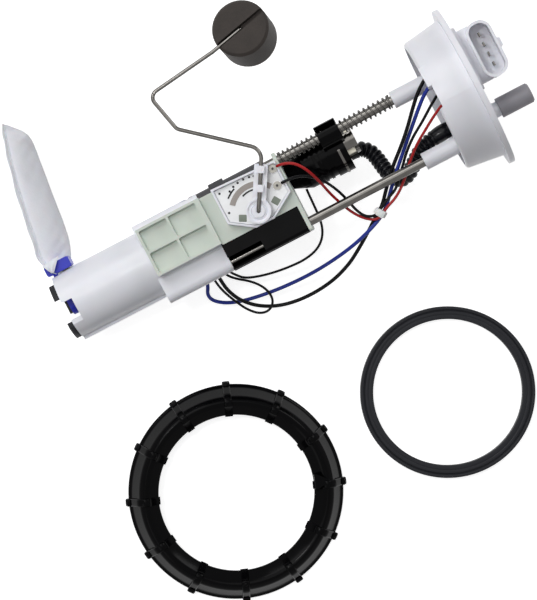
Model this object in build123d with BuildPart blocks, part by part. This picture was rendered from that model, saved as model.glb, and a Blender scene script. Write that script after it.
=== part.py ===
from build123d import *
from math import atan, cos, degrees, pi, radians, sin, tan
import os

# In-tank fuel pump module, taken out of its tank and lying on a flat surface, all sizes in millimetres.
# The module's own frame has X along its axis toward the lid's top, Y to the side where the float arm
# reaches, Z away from the surface that it lies on, and its origin at the centre of the sealing face.
# The row's frame shares that origin: the module only leans, because the lid's rim is wider than the carrier.

# Lid
RIM_RADIUS = 53.0
RIM_THICK = 3.5
SKIRT_RADIUS = 46.8
SKIRT_END_RADIUS = 43.4
SKIRT_DEPTH = 25.0
SKIRT_WALL = 3.2
LID_CEILING = 0.5
PAD_LENGTH = 7.0
PAD_WIDTH = 14.0
PAD_TURN = -25.0
PAD_RISE = 0.9
NOTCH_DEPTH = 2.5

# Guide rods, their bosses and their clearances
ROD_RADIUS = 3.0
ROD_Z = 10.0
UPPER_Y = 15.5
LOWER_Y = -27.3
ROD_TIP = -193.0
ROD_SOCKET = 27.0
BOSS_RADIUS = 5.5
BOSS_TIP = -47.0
RUNNING = 0.06
SEAT_GAP = 0.3
LOOSE = 0.5

# Connector shroud and its blades
SHROUD_X = 18.6
SHROUD_Y = 16.6
SHROUD_WIDTH = 16.5
SHROUD_LENGTH = 36.4
SHROUD_CORNER = 7.5
SHROUD_WALL = 1.8
SHROUD_BACK = -9.0
SHROUD_MOUTH = 24.0
SOCKET_FLOOR = 8.0
BASE_WIDTH = 42.3
BASE_DEPTH = 33.0
BASE_TOP = 10.4
BASE_STEP = 3.0
BLADE_PITCH = 6.67
BLADE_COUNT = 4
BLADE_WIDTH = 2.8
BLADE_THICK = 0.8
BLADE_TIP = 18.5
BLADE_ROOT = 4.0

# Plug under the lid, where the wires start
PLUG_Y = 11.0
PLUG_Z = 21.0
PLUG_TIP = -13.0
PLUG_LENGTH = 26.0
PLUG_DEPTH = 7.0
TAIL_TIP = -6.0

# Fuel outlet, its grey transit cap and the hose nipple below it
OUTLET_Y = -19.4
OUTLET_Z = 0.0
OUTLET_RADIUS = 3.9
OUTLET_NECK_RADIUS = 4.9
OUTLET_NECK_TOP = 9.4
OUTLET_TIP = 29.0
OUTLET_BORE = 2.4
CAP_RADIUS = 6.5
CAP_TOP = 31.8
NIPPLE_Y = -16.2
NIPPLE_Z = 0.0
NIPPLE_RADIUS = 3.7
NIPPLE_TIP = -15.0
HOSE_RADIUS = 5.0
HOSE_BORE = 3.85

# Carrier: the cup round the pump, the shield with its two guide tubes, and three legs
CUP_Y = -4.6
CUP_Z = -3.0
CUP_RADIUS = 21.4
CUP_WALL = 1.6
CUP_END = -280.0
CUP_FLOOR = 3.0
CUP_MOUTH = -182.0
LEG_LENGTH = 7.0
LEG_WALL = 2.4
FOOT_THICK = 3.5
SHIELD_END = -227.0
SHIELD_PLATE = 2.4
TUBE_RADIUS = 5.4
INLET_RADIUS = 6.3
RIB_DEPTH = 4.0
RIB_WIDTH = 3.0
WINDOW_LENGTH = 9.0
WINDOW_HEIGHT = 6.0
GROMMET_X = -196.0
GROMMET_Z = -8.0
GROMMET_LENGTH = 20.0
GROMMET_WIDTH = 6.0
GROMMET_REACH = 3.0
GROMMET_FLANGE = 2.0

# Pump
PUMP_RADIUS = 19.0
PUMP_SHELL_WALL = 0.9
PUMP_CAP = 8.0
PUMP_TOP = -186.0
ISOLATOR_THICK = 3.0
INLET_NIPPLE_RADIUS = 4.0
PORT_Y = 4.0
PORT_Z = -7.0
PORT_RADIUS = 3.0
SHAFT_RADIUS = 1.6
ARMATURE_RADIUS = 12.5
MAGNET_THICK = 4.2
IMPELLER_RADIUS = 15.0
IMPELLER_THICK = 3.0
IMPELLER_VANES = 24
VANE_DEPTH = 5.0
VANE_GAP = 1.8
INLET_NIPPLE = 3.0
CAP_SEAT = 2.0
PORT_LENGTH = 6.0
TERMINAL_OFFSET = 12.0
TERMINAL_RISE = 9.0
MAGNET_MARGIN = 6.0
MAGNET_GAP = 8.0
COMMUTATOR_RADIUS = 7.0

# Pump holder, outlet head, regulator
HOLDER_DISC = 4.0
PIPE_RADIUS = 5.2
PIPE_BORE = 3.3
BLOCK_END = -129.2
BLOCK_SIDE = -32.5
BLOCK_INNER = -10.0
BLOCK_BOTTOM = -4.0
BLOCK_WALL = 2.4
CHANNEL_END = -159.0
HEAD_RADIUS = 14.0
HEAD_NECK_RADIUS = 9.0
HEAD_START = -126.5
HEAD_SHOULDER = -115.0
HEAD_FLANGE = -97.0
HEAD_FLANGE_RADIUS = 15.2
HEAD_END = -86.0
HEAD_PORT_Y = -1.0
HEAD_PORT_Z = -21.0
LUG_START = -98.6
LUG_END = -84.3
LUG_WALL = 2.0
RIDGE_RISE = 0.7
REGULATOR_Y = 6.4
REGULATOR_RADIUS = 8.6
REGULATOR_TIP = -79.0
REGULATOR_SOCKET = 6.0
CAGE_WALL = 0.5
CAGE_WINDOWS = 3
CAGE_TURN = 30.0
CAGE_BAND = 1.5
PIPE_ENTRY = 5.0
BLOCK_BORE = 3.6
SLEEVE_RADIUS = 4.9
SLEEVE_END = -136.0
NUB_X = -168.0
NUB_RISE = 1.5
RIDGES = 3
RIDGE_START = -110.0
RIDGE_PITCH = 4.0
LUG_BORE = 5.7
HEAD_NIPPLE = 3.6
OVAL_X = -106.0
OVAL_LENGTH = 9.0
OVAL_WIDTH = 5.0
OVAL_DEPTH = 1.2
RING_SEAT = -89.0
RING_RADIUS = 0.8
CLIP_X = -91.5
CLIP_WIDTH = 1.6

# Guide spring on the upper rod
SPRING_RADIUS = 4.1
SPRING_WIRE = 0.55
SPRING_TURNS = 24

# Sender bracket
BRACKET_THICK = 2.0
TRAY_START = -225.0
TRAY_END = -181.0
TRAY_TOP = 25.0
TRAY_LOW = -14.2
TRAY_HIGH = 17.6
TRAY_WALL = 1.6
TRAY_BORDER = 3.4
PLATE_LOW = -15.2
PLATE_HIGH = 16.8
END_PLATE = 2.4
END_PLATE_LOW = -33.0
END_PLATE_BOTTOM = -15.0

# Sender
HUB_X = -151.2
HUB_Y = -7.0
HOUSING_FLOOR = 2.0
HOUSING_WALL = 1.4
HOUSING_RISE = 5.6
HOUSING_BACK = 20.8
HOUSING_TOP_LEFT = 18.2
HOUSING_TOP_RIGHT = 16.2
HOUSING_INSET = 1.5
HOUSING_FOOT = 8.5
HOUSING_FOOT_LEFT = 6.2
HOUSING_FOOT_RIGHT = 6.5
HOUSING_SHOULDER = 1.5
CARD_THICK = 0.8
TRACK_THICK = 0.25
HUB_RADIUS = 7.8
HUB_GAP = 0.5
HUB_THICK = 3.2
ARM_LENGTH = 29.0
ARM_WIDTH = 8.3
ARM_ANGLE = 59.5
FLOAT_WIRE_RADIUS = 1.25
FLOAT_RADIUS = 17.7
FLOAT_HEIGHT = 30.0
FLOAT_ROLL = -14.0
FLOAT_BEVEL = 1.6
FLOAT_PLACE = (-109.4, 96.8)
FLOAT_PIN = 14.0
GROOVE_COVER = 1.0
WIRE_BEND_ONE = (-131.8, 25.9)
WIRE_BEND_TWO = (-172.4, 60.8)
WIRE_BEND_THREE = (-178.2, 86.6)
WIRE_BEND_FOUR = (-131.0, 92.2)
POST_RADIUS = 3.4
WIRE_GAP = 15.0
WIRE_GAP_Y = 6.5
RESISTOR_INNER = 15.0
RESISTOR_OUTER = 18.5
RESISTOR_START = 37.0
RESISTOR_SWEEP = 104.0
CONTACT_INNER = 13.0
CONTACT_OUTER = 20.0
CONTACT_WIDTH = 1.0
CONTACT_TURN = 111.0
CONTACT_SWEEP_INNER = 34.0
CONTACT_SWEEP_OUTER = 20.0
SENDER_TERMINALS = ((-134.0, 1.7), (-131.8, 12.2))
TERMINAL_RING = 2.6
TERMINAL_THICK = 0.8
HUB_LIP = 1.2
CLIP_SHARES = (0.48, 0.88)
CLIP_LENGTH = 4.5
CLIP_WALL = 1.1
LEAF_DROP = 2.2
LEAF_LENGTH = 9.0
LEAF_WIDTH = 3.0
LEAF_THICK = 0.3

# Strainer
BAG_TURN = -60.0
FRAME_STANDOFF = 2.5
FRAME_THICK = 3.0
FRAME_WIDTH = 13.0
FRAME_END = 17.0
JAW_LENGTH = 17.0
JAW_WIDTH = 7.0
JAW_OVERHANG = 3.5

# Wires
PUMP_WIRE_RADIUS = 1.2
SENDER_WIRE_RADIUS = 0.9
JUMPER_RADIUS = 0.8
ARC_SHARE = 0.45
TIE_PLACE = (-85.3, -43.0, 4.0)
TIE_RUN = (-0.845, -0.53, -0.07)
TIE_SIDE = (0.531, -0.847, 0.0)
TIE_DROP = -0.2
TIE_HOLE = 5.8
TIE_BAND = 1.0
TIE_HEAD = 5.4
TIE_HEAD_RISE = 3.2
TIE_WIDTH = 3.6

# Rings that clamp and seal the lid on the tank's neck, shown beside the module
LOCK_RADIUS = 67.0
LOCK_INNER = 49.0
LOCK_HEIGHT = 18.0
LOCK_TOP_RADIUS = 56.0
LOCK_BAND = 4.0
LOCK_WALL = 3.0
LOCK_LIP = 3.0
STRAP_RISE = 1.0
STRAP_REACH = 2.2
STRAP_WIDTH = 5.0
STRAP_DROP = 0.5
LOCK_RIBS = 12
LOCK_RIB_START = 8.0
LOCK_X = -245.0
LOCK_Y = -157.5
SEAL_RADIUS = 54.2
SEAL_WIDTH = 8.2
SEAL_HEIGHT = 6.0
SEAL_GROOVE = 2.5
SEAL_X = -97.0
SEAL_Y = -164.0

# What follows from the sizes above
FOOT_END = CUP_END - LEG_LENGTH - FOOT_THICK
CUP_BACK = CUP_RADIUS - CUP_Z
LEAN = degrees(atan((RIM_RADIUS - CUP_BACK) / -FOOT_END))
FLOOR = -RIM_RADIUS * cos(radians(LEAN))
BRACKET_BASE = CUP_Z + CUP_RADIUS + SEAT_GAP
BRACKET_FACE = BRACKET_BASE + BRACKET_THICK
END_PLATE_START = BLOCK_END
END_PLATE_END = END_PLATE_START + END_PLATE
CARD_TOP = BRACKET_FACE + HOUSING_FLOOR + CARD_THICK
HOUSING_TOP = BRACKET_FACE + HOUSING_RISE
HUB_BASE = HOUSING_TOP + HUB_GAP
ARM_TOP = HUB_BASE + HUB_THICK
WIRE_Z = ARM_TOP + FLOAT_WIRE_RADIUS
CARD_FLOOR = BRACKET_FACE + HOUSING_FLOOR
PUMP_BOTTOM = CUP_END + CUP_FLOOR + ISOLATOR_THICK
ROD_ROOT = BOSS_TIP + ROD_SOCKET
PLUG_TOP = LID_CEILING - SEAT_GAP
CAP_BOTTOM = OUTLET_NECK_TOP + SEAT_GAP
GROMMET_FACE = CUP_Y - CUP_RADIUS - GROMMET_FLANGE
BARB_RADIUS = OUTLET_NECK_RADIUS - SEAT_GAP
SHIELD_TOP = ROD_Z + TUBE_RADIUS
MODULE = Plane(
    origin=(0, 0, 0),
    x_dir=(cos(radians(LEAN)), 0, sin(radians(LEAN))),
    z_dir=(-sin(radians(LEAN)), 0, cos(radians(LEAN))),
)
ALONG = Axis((0, 0, 0), MODULE.x_dir)
UP = Axis((0, 0, 0), MODULE.z_dir)


def point(x, y, z):
    """A place in the module's frame, in the row's frame."""
    return MODULE.from_local_coords((x, y, z))


def across(x, y=0, z=0):
    """A plane square to the module's axis: the sketch's X and Y are the module's Y and Z."""
    return Plane(point(x, y, z), x_dir=MODULE.y_dir, z_dir=MODULE.x_dir)


def above(z, x=0, y=0):
    """A plane along the module's axis, seen from above: the sketch's X and Y are the module's."""
    return Plane(point(x, y, z), x_dir=MODULE.x_dir, z_dir=MODULE.z_dir)


def beside(y, x=0, z=0):
    """A plane along the module's axis, seen from its side: the sketch's X and Y are the module's X and Z."""
    return Plane(point(x, y, z), x_dir=MODULE.x_dir, z_dir=-MODULE.y_dir)


def spin_axis(y=0, z=0):
    """The line along the module's axis through y and z."""
    return Axis(point(0, y, z), MODULE.x_dir)


def spun(plane, angle):
    """The plane turned in itself, anticlockwise, by an angle in degrees."""
    return Plane(plane.origin, x_dir=plane.x_dir.rotate(Axis((0, 0, 0), plane.z_dir), angle), z_dir=plane.z_dir)


def standing(x, y, angle=0):
    """An upright plane through a ring's centre: the sketch's X runs outward at the angle, its Y is up."""
    turn = radians(angle)
    return Plane((x, y, FLOOR), x_dir=(cos(turn), sin(turn), 0), z_dir=(sin(turn), -cos(turn), 0))


def outline(plane, *points):
    """A closed face through the points, on the plane."""
    with BuildSketch(plane) as face:
        with BuildLine():
            Polyline(*points, close=True)
        make_face()
    return face.sketch


def turned(points, y=0, z=0):
    """Half the section of a turned piece whose axis is spin_axis(y, z): points are (x, radius)."""
    return outline(beside(y, 0, z), *points)


os.makedirs("parts", exist_ok=True)

# Lid: a thin rim, a tapered skirt open below, rod bosses, hose nipple, fuel outlet and connector shroud
with BuildPart() as flange_lid:
    skirt_inside = SKIRT_RADIUS - SKIRT_WALL
    revolve(
        turned(
            [
                (RIM_THICK, 0),
                (RIM_THICK, RIM_RADIUS),
                (0, RIM_RADIUS),
                (0, SKIRT_RADIUS),
                (-SKIRT_DEPTH, SKIRT_END_RADIUS),
                (-SKIRT_DEPTH, SKIRT_END_RADIUS - SKIRT_WALL),
                (LID_CEILING, skirt_inside),
                (LID_CEILING, 0),
            ]
        ),
        axis=spin_axis(),
    )
    skirt_edge = flange_lid.edges().filter_by(GeomType.CIRCLE).sort_by(ALONG)[:2]
    fillet(skirt_edge.sort_by(SortBy.RADIUS)[-1], radius=SKIRT_WALL * 0.7)
    with BuildSketch(across(BOSS_TIP)):
        with Locations((UPPER_Y, ROD_Z), (LOWER_Y, ROD_Z)):
            Circle(BOSS_RADIUS)
    extrude(amount=LID_CEILING - BOSS_TIP)
    with BuildSketch(across(BOSS_TIP)):
        with Locations((UPPER_Y, ROD_Z), (LOWER_Y, ROD_Z)):
            Circle(ROD_RADIUS + RUNNING)
    extrude(amount=ROD_SOCKET, mode=Mode.SUBTRACT)
    # The stepped base under the connector, and the shroud whose mouth faces sideways
    with BuildSketch(across(RIM_THICK)):
        with Locations((SHROUD_Y, (SHROUD_BACK + SHROUD_MOUTH) / 2)):
            RectangleRounded(BASE_WIDTH, BASE_DEPTH, SHROUD_CORNER)
    extrude(amount=BASE_STEP)
    with BuildSketch(across(RIM_THICK + BASE_STEP)):
        with Locations((SHROUD_Y, (SHROUD_BACK + SHROUD_MOUTH) / 2 - BASE_STEP / 2)):
            RectangleRounded(SHROUD_LENGTH, BASE_DEPTH - BASE_STEP, SHROUD_CORNER)
    extrude(amount=BASE_TOP - RIM_THICK - BASE_STEP + SHROUD_WIDTH / 4)
    with BuildSketch(above(SHROUD_BACK)):
        with Locations((SHROUD_X, SHROUD_Y)):
            RectangleRounded(SHROUD_WIDTH, SHROUD_LENGTH, SHROUD_CORNER)
    extrude(amount=SHROUD_MOUTH - SHROUD_BACK)
    with BuildSketch(above(SOCKET_FLOOR)):
        with Locations((SHROUD_X, SHROUD_Y)):
            RectangleRounded(
                SHROUD_WIDTH - 2 * SHROUD_WALL, SHROUD_LENGTH - 2 * SHROUD_WALL, SHROUD_CORNER - SHROUD_WALL
            )
    extrude(amount=SHROUD_MOUTH - SOCKET_FLOOR, mode=Mode.SUBTRACT)
    # The nub that the plug's latch snaps over
    with BuildSketch(across(SHROUD_X + SHROUD_WIDTH / 2)):
        with Locations((SHROUD_Y, SHROUD_MOUTH - BLADE_WIDTH)):
            Rectangle(BLADE_PITCH, BLADE_WIDTH)
    extrude(amount=SHROUD_WALL, taper=20)
    # Slots that the insert-moulded blades and tails stand in
    with BuildSketch(above(BLADE_ROOT)):
        with Locations((SHROUD_X, SHROUD_Y)):
            with GridLocations(0, BLADE_PITCH, 1, BLADE_COUNT):
                Rectangle(BLADE_THICK, BLADE_WIDTH)
    extrude(amount=SOCKET_FLOOR - BLADE_ROOT, mode=Mode.SUBTRACT)
    with BuildSketch(across(LID_CEILING)):
        with Locations((PLUG_Y, PLUG_Z)):
            with GridLocations(BLADE_PITCH, 0, BLADE_COUNT, 1):
                Rectangle(BLADE_WIDTH, BLADE_THICK)
    extrude(amount=RIM_THICK - LID_CEILING, mode=Mode.SUBTRACT)
    # Fuel outlet above the lid and hose nipple below it
    revolve(
        turned(
            [
                (LID_CEILING, 0),
                (LID_CEILING, OUTLET_NECK_RADIUS),
                (OUTLET_NECK_TOP, OUTLET_NECK_RADIUS),
                (OUTLET_NECK_TOP, OUTLET_RADIUS),
                (OUTLET_TIP - 3, OUTLET_RADIUS),
                (OUTLET_TIP - 2, BARB_RADIUS),
                (OUTLET_TIP, OUTLET_RADIUS - SEAT_GAP),
                (OUTLET_TIP, 0),
            ],
            OUTLET_Y,
            OUTLET_Z,
        ),
        axis=spin_axis(OUTLET_Y, OUTLET_Z),
    )
    revolve(
        turned(
            [
                (RIM_THICK, 0),
                (RIM_THICK, HOSE_RADIUS),
                (LID_CEILING - 1, HOSE_RADIUS),
                (LID_CEILING - 1, NIPPLE_RADIUS),
                (NIPPLE_TIP + 1, NIPPLE_RADIUS),
                (NIPPLE_TIP, NIPPLE_RADIUS - SEAT_GAP),
                (NIPPLE_TIP, 0),
            ],
            NIPPLE_Y,
            NIPPLE_Z,
        ),
        axis=spin_axis(NIPPLE_Y, NIPPLE_Z),
    )
    with BuildSketch(across(NIPPLE_TIP)):
        with Locations((NIPPLE_Y, NIPPLE_Z)):
            Circle(OUTLET_BORE)
    extrude(amount=-NIPPLE_TIP + RIM_THICK / 2, mode=Mode.SUBTRACT)
    with BuildSketch(across(RIM_THICK / 2 - 1)):
        with Locations((OUTLET_Y, OUTLET_Z)):
            Circle(OUTLET_BORE)
    extrude(amount=OUTLET_TIP, mode=Mode.SUBTRACT)
    # Flat pad on the skirt, with the notch beside it where the wires come out
    with BuildSketch(spun(across(-SKIRT_DEPTH), PAD_TURN)):
        with Locations((0, SKIRT_END_RADIUS - SKIRT_WALL / 2 + PAD_RISE / 2)):
            Rectangle(PAD_WIDTH, SKIRT_WALL / 2 + PAD_RISE)
    extrude(amount=PAD_LENGTH)
    with BuildSketch(spun(across(-SKIRT_DEPTH), PAD_TURN)):
        with Locations((-PAD_WIDTH, SKIRT_END_RADIUS - SKIRT_WALL)):
            Rectangle(PAD_WIDTH, 4 * SKIRT_WALL)
    extrude(amount=NOTCH_DEPTH, mode=Mode.SUBTRACT)
flange_lid.part.label = "flange_lid"
export_step(flange_lid.part, "parts/flange_lid.step")

# Blades in the connector's mouth, and their tails under the lid
with BuildPart() as connector_terminals:
    with BuildSketch(above(BLADE_ROOT)):
        with Locations((SHROUD_X, SHROUD_Y)):
            with GridLocations(0, BLADE_PITCH, 1, BLADE_COUNT):
                Rectangle(BLADE_THICK, BLADE_WIDTH)
    extrude(amount=BLADE_TIP - BLADE_ROOT)
    chamfer(connector_terminals.faces().sort_by(UP)[-BLADE_COUNT:].edges(), length=BLADE_THICK / 4)
    with BuildSketch(across(TAIL_TIP)):
        with Locations((PLUG_Y, PLUG_Z)):
            with GridLocations(BLADE_PITCH, 0, BLADE_COUNT, 1):
                Rectangle(BLADE_WIDTH, BLADE_THICK)
    extrude(amount=RIM_THICK - TAIL_TIP)
connector_terminals.part.label = "connector_terminals"
export_step(connector_terminals.part, "parts/connector_terminals.step")

# Plug that takes the wires to those tails
with BuildPart() as inner_plug:
    with BuildSketch(across(PLUG_TIP)):
        with Locations((PLUG_Y, PLUG_Z)):
            RectangleRounded(PLUG_LENGTH, PLUG_DEPTH, 1)
    extrude(amount=PLUG_TOP - PLUG_TIP)
    with BuildSketch(across(TAIL_TIP - SEAT_GAP)):
        with Locations((PLUG_Y, PLUG_Z)):
            with GridLocations(BLADE_PITCH, 0, BLADE_COUNT, 1):
                Rectangle(BLADE_WIDTH + 2 * RUNNING, BLADE_THICK + 2 * RUNNING)
    extrude(amount=PLUG_TOP - TAIL_TIP + SEAT_GAP, mode=Mode.SUBTRACT)
inner_plug.part.label = "inner_plug"
export_step(inner_plug.part, "parts/inner_plug.step")

# Guide rods, pressed into the lid's bosses
for rod_name, rod_y in (("guide_rod_upper", UPPER_Y), ("guide_rod_lower", LOWER_Y)):
    with BuildPart() as guide_rod:
        with BuildSketch(across(ROD_TIP)):
            with Locations((rod_y, ROD_Z)):
                Circle(ROD_RADIUS)
        extrude(amount=ROD_ROOT - ROD_TIP)
        chamfer(guide_rod.faces().sort_by(ALONG)[0].edges(), length=ROD_RADIUS / 4)
    guide_rod.part.label = rod_name
    export_step(guide_rod.part, f"parts/{rod_name}.step")

# Transit cap on the fuel outlet
with BuildPart() as outlet_cap:
    revolve(
        turned(
            [
                (CAP_BOTTOM, BARB_RADIUS + RUNNING),
                (CAP_BOTTOM, CAP_RADIUS),
                (CAP_TOP - 1, CAP_RADIUS),
                (CAP_TOP, CAP_RADIUS - 1),
                (CAP_TOP, 0),
                (OUTLET_TIP + SEAT_GAP, 0),
                (OUTLET_TIP + SEAT_GAP, BARB_RADIUS + RUNNING),
            ],
            OUTLET_Y,
            OUTLET_Z,
        ),
        axis=spin_axis(OUTLET_Y, OUTLET_Z),
    )
outlet_cap.part.label = "outlet_cap"
export_step(outlet_cap.part, "parts/outlet_cap.step")

# Carrier: the pump's cup, the flat shield over it, its two guide tubes and three legs
# Each leg and each foot is a stretch of the cup's wall: the middle of its window in Y and Z, and the window's size
LEGS = (
    (8.0, 11.5, 18.0, 15.0),
    (-20.0, 5.0, 14.0, 20.0),
    (-5.0, -22.0, 10.0, 8.0),
)
FEET = (
    (6.5, 12.5, 10.0, 13.0),
    (-19.5, 5.0, 11.0, 18.0),
    (-5.0, -22.0, 9.0, 7.2),
)
with BuildPart() as carrier:
    with BuildSketch(across(CUP_END)):
        with Locations((CUP_Y, CUP_Z)):
            Circle(CUP_RADIUS)
    extrude(amount=CUP_MOUTH - CUP_END)
    with BuildSketch(across(SHIELD_END)):
        with Locations(((UPPER_Y + LOWER_Y) / 2, SHIELD_TOP - SHIELD_PLATE / 2)):
            Rectangle(UPPER_Y - LOWER_Y, SHIELD_PLATE)
        with Locations((UPPER_Y, ROD_Z), (LOWER_Y, ROD_Z)):
            Circle(TUBE_RADIUS)
    extrude(amount=CUP_MOUTH - SHIELD_END)
    # Side rib from the lower leg along the cup
    with BuildSketch(across(CUP_END - LEG_LENGTH)):
        with Locations((CUP_Y - CUP_RADIUS, CUP_Z)):
            Rectangle(RIB_DEPTH, RIB_WIDTH)
    extrude(amount=SHIELD_END - CUP_END + LEG_LENGTH)
    with BuildSketch(across(SHIELD_END)):
        with Locations((UPPER_Y, ROD_Z), (LOWER_Y, ROD_Z)):
            Circle(ROD_RADIUS + RUNNING)
    extrude(amount=CUP_MOUTH - SHIELD_END, mode=Mode.SUBTRACT)
    with BuildSketch(across(CUP_END + CUP_FLOOR)):
        with Locations((CUP_Y, CUP_Z)):
            Circle(CUP_RADIUS - CUP_WALL)
    extrude(amount=CUP_MOUTH - CUP_END - CUP_FLOOR, mode=Mode.SUBTRACT)
    with BuildSketch(across(CUP_END)):
        with Locations((CUP_Y, CUP_Z)):
            Circle(INLET_RADIUS)
    extrude(amount=CUP_FLOOR, mode=Mode.SUBTRACT)
    for leg_y, leg_z, leg_width, leg_height in LEGS:
        with BuildSketch(across(CUP_END)):
            with Locations((CUP_Y, CUP_Z)):
                Circle(CUP_RADIUS)
                Circle(CUP_RADIUS - LEG_WALL, mode=Mode.SUBTRACT)
            with Locations((leg_y, leg_z)):
                Rectangle(leg_width, leg_height, mode=Mode.INTERSECT)
        extrude(amount=-LEG_LENGTH)
    with BuildSketch(across(CUP_END - LEG_LENGTH)):
        with Locations((CUP_Y, CUP_Z)):
            Circle(CUP_RADIUS - LEG_WALL)
    extrude(amount=LEG_LENGTH, mode=Mode.SUBTRACT)
    # Window that shows the upper rod's tip
    extrude(
        outline(
            beside(UPPER_Y + TUBE_RADIUS, ROD_TIP, ROD_Z),
            (0, WINDOW_HEIGHT / 2),
            (WINDOW_LENGTH, WINDOW_HEIGHT / 2),
            (WINDOW_LENGTH / 2, -WINDOW_HEIGHT / 2),
        ),
        amount=TUBE_RADIUS,
        mode=Mode.SUBTRACT,
    )
    # Slot in the cup's side for the wires' grommet
    with BuildSketch(beside(CUP_Y - CUP_RADIUS + GROMMET_REACH, GROMMET_X, GROMMET_Z)):
        SlotOverall(GROMMET_LENGTH, GROMMET_WIDTH)
    extrude(amount=2 * GROMMET_REACH, mode=Mode.SUBTRACT)
carrier.part.label = "carrier"
export_step(carrier.part, "parts/carrier.step")

# Rubber feet on the legs' ends
with BuildPart() as rubber_feet:
    for foot_y, foot_z, foot_width, foot_height in FEET:
        with BuildSketch(across(CUP_END - LEG_LENGTH)):
            with Locations((CUP_Y, CUP_Z)):
                Circle(CUP_RADIUS)
                Circle(CUP_RADIUS - LEG_WALL, mode=Mode.SUBTRACT)
            with Locations((foot_y, foot_z)):
                Rectangle(foot_width, foot_height, mode=Mode.INTERSECT)
        extrude(amount=-FOOT_THICK)
rubber_feet.part.label = "rubber_feet"
export_step(rubber_feet.part, "parts/rubber_feet.step")

# Grommet that brings the pump's wires through the cup's side
with BuildPart() as wire_grommet:
    with BuildSketch(beside(GROMMET_FACE, GROMMET_X, GROMMET_Z)):
        SlotOverall(GROMMET_LENGTH + 2, GROMMET_WIDTH + 2)
    extrude(amount=-GROMMET_FLANGE)
    with BuildSketch(beside(GROMMET_FACE, GROMMET_X, GROMMET_Z)):
        SlotOverall(GROMMET_LENGTH - 2 * RUNNING, GROMMET_WIDTH - 2 * RUNNING)
    extrude(amount=PUMP_RADIUS + SEAT_GAP - CUP_RADIUS - GROMMET_FLANGE)
wire_grommet.part.label = "wire_grommet"
export_step(wire_grommet.part, "parts/wire_grommet.step")

# Pump shell, a thin steel tube
with BuildPart() as pump_shell:
    with BuildSketch(across(PUMP_BOTTOM + PUMP_CAP)):
        with Locations((CUP_Y, CUP_Z)):
            Circle(PUMP_RADIUS)
            Circle(PUMP_RADIUS - PUMP_SHELL_WALL, mode=Mode.SUBTRACT)
    extrude(amount=PUMP_TOP - PUMP_BOTTOM - 2 * PUMP_CAP)
pump_shell.part.label = "pump_shell"
export_step(pump_shell.part, "parts/pump_shell.step")

# Inlet end of the pump, with the nipple that the strainer's neck fits over and the shaft's lower bearing
with BuildPart() as pump_inlet_cap:
    revolve(
        turned(
            [
                (PUMP_BOTTOM - INLET_NIPPLE, 0),
                (PUMP_BOTTOM - INLET_NIPPLE, INLET_NIPPLE_RADIUS),
                (PUMP_BOTTOM, INLET_NIPPLE_RADIUS),
                (PUMP_BOTTOM, PUMP_RADIUS - PUMP_SHELL_WALL),
                (PUMP_BOTTOM + PUMP_CAP - CAP_SEAT, PUMP_RADIUS),
                (PUMP_BOTTOM + PUMP_CAP, PUMP_RADIUS),
                (PUMP_BOTTOM + PUMP_CAP, 0),
            ],
            CUP_Y,
            CUP_Z,
        ),
        axis=spin_axis(CUP_Y, CUP_Z),
    )
    with BuildSketch(across(PUMP_BOTTOM + PUMP_CAP)):
        with Locations((CUP_Y, CUP_Z)):
            Circle(IMPELLER_RADIUS + LOOSE)
    extrude(amount=-IMPELLER_THICK - 2 * SEAT_GAP, mode=Mode.SUBTRACT)
    with BuildSketch(across(PUMP_BOTTOM + PUMP_CAP)):
        with Locations((CUP_Y, CUP_Z)):
            Circle(SHAFT_RADIUS + RUNNING)
    extrude(amount=-PUMP_CAP + CAP_SEAT, mode=Mode.SUBTRACT)
    with BuildSketch(across(PUMP_BOTTOM - INLET_NIPPLE)):
        with Locations((CUP_Y, CUP_Z)):
            Circle(INLET_NIPPLE_RADIUS - 1)
    extrude(amount=INLET_NIPPLE, mode=Mode.SUBTRACT)
pump_inlet_cap.part.label = "pump_inlet_cap"
export_step(pump_inlet_cap.part, "parts/pump_inlet_cap.step")

# Outlet end of the pump, with its port and the shaft's upper bearing
with BuildPart() as pump_outlet_cap:
    with BuildSketch(across(PUMP_TOP - PUMP_CAP)):
        with Locations((CUP_Y, CUP_Z)):
            Circle(PUMP_RADIUS)
    extrude(amount=PUMP_CAP)
    chamfer(pump_outlet_cap.faces().sort_by(ALONG)[-1].edges(), length=CAP_SEAT)
    with BuildSketch(across(PUMP_TOP)):
        with Locations((PORT_Y, PORT_Z)):
            Circle(PORT_RADIUS)
    extrude(amount=PORT_LENGTH)
    with BuildSketch(across(PUMP_TOP - PUMP_CAP)):
        with Locations((PORT_Y, PORT_Z)):
            Circle(PORT_RADIUS - 1)
    extrude(amount=PUMP_CAP + PORT_LENGTH, mode=Mode.SUBTRACT)
    with BuildSketch(across(PUMP_TOP - PUMP_CAP)):
        with Locations((CUP_Y, CUP_Z)):
            Circle(SHAFT_RADIUS + RUNNING)
    extrude(amount=PUMP_CAP / 2, mode=Mode.SUBTRACT)
    # Shallow sockets for the two motor terminals
    with BuildSketch(across(PUMP_TOP)):
        with Locations((CUP_Y - TERMINAL_OFFSET, CUP_Z), (CUP_Y, CUP_Z - TERMINAL_OFFSET)):
            Rectangle(BLADE_WIDTH, BLADE_THICK)
    extrude(amount=-PUMP_CAP / 2, mode=Mode.SUBTRACT)
pump_outlet_cap.part.label = "pump_outlet_cap"
export_step(pump_outlet_cap.part, "parts/pump_outlet_cap.step")

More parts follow.
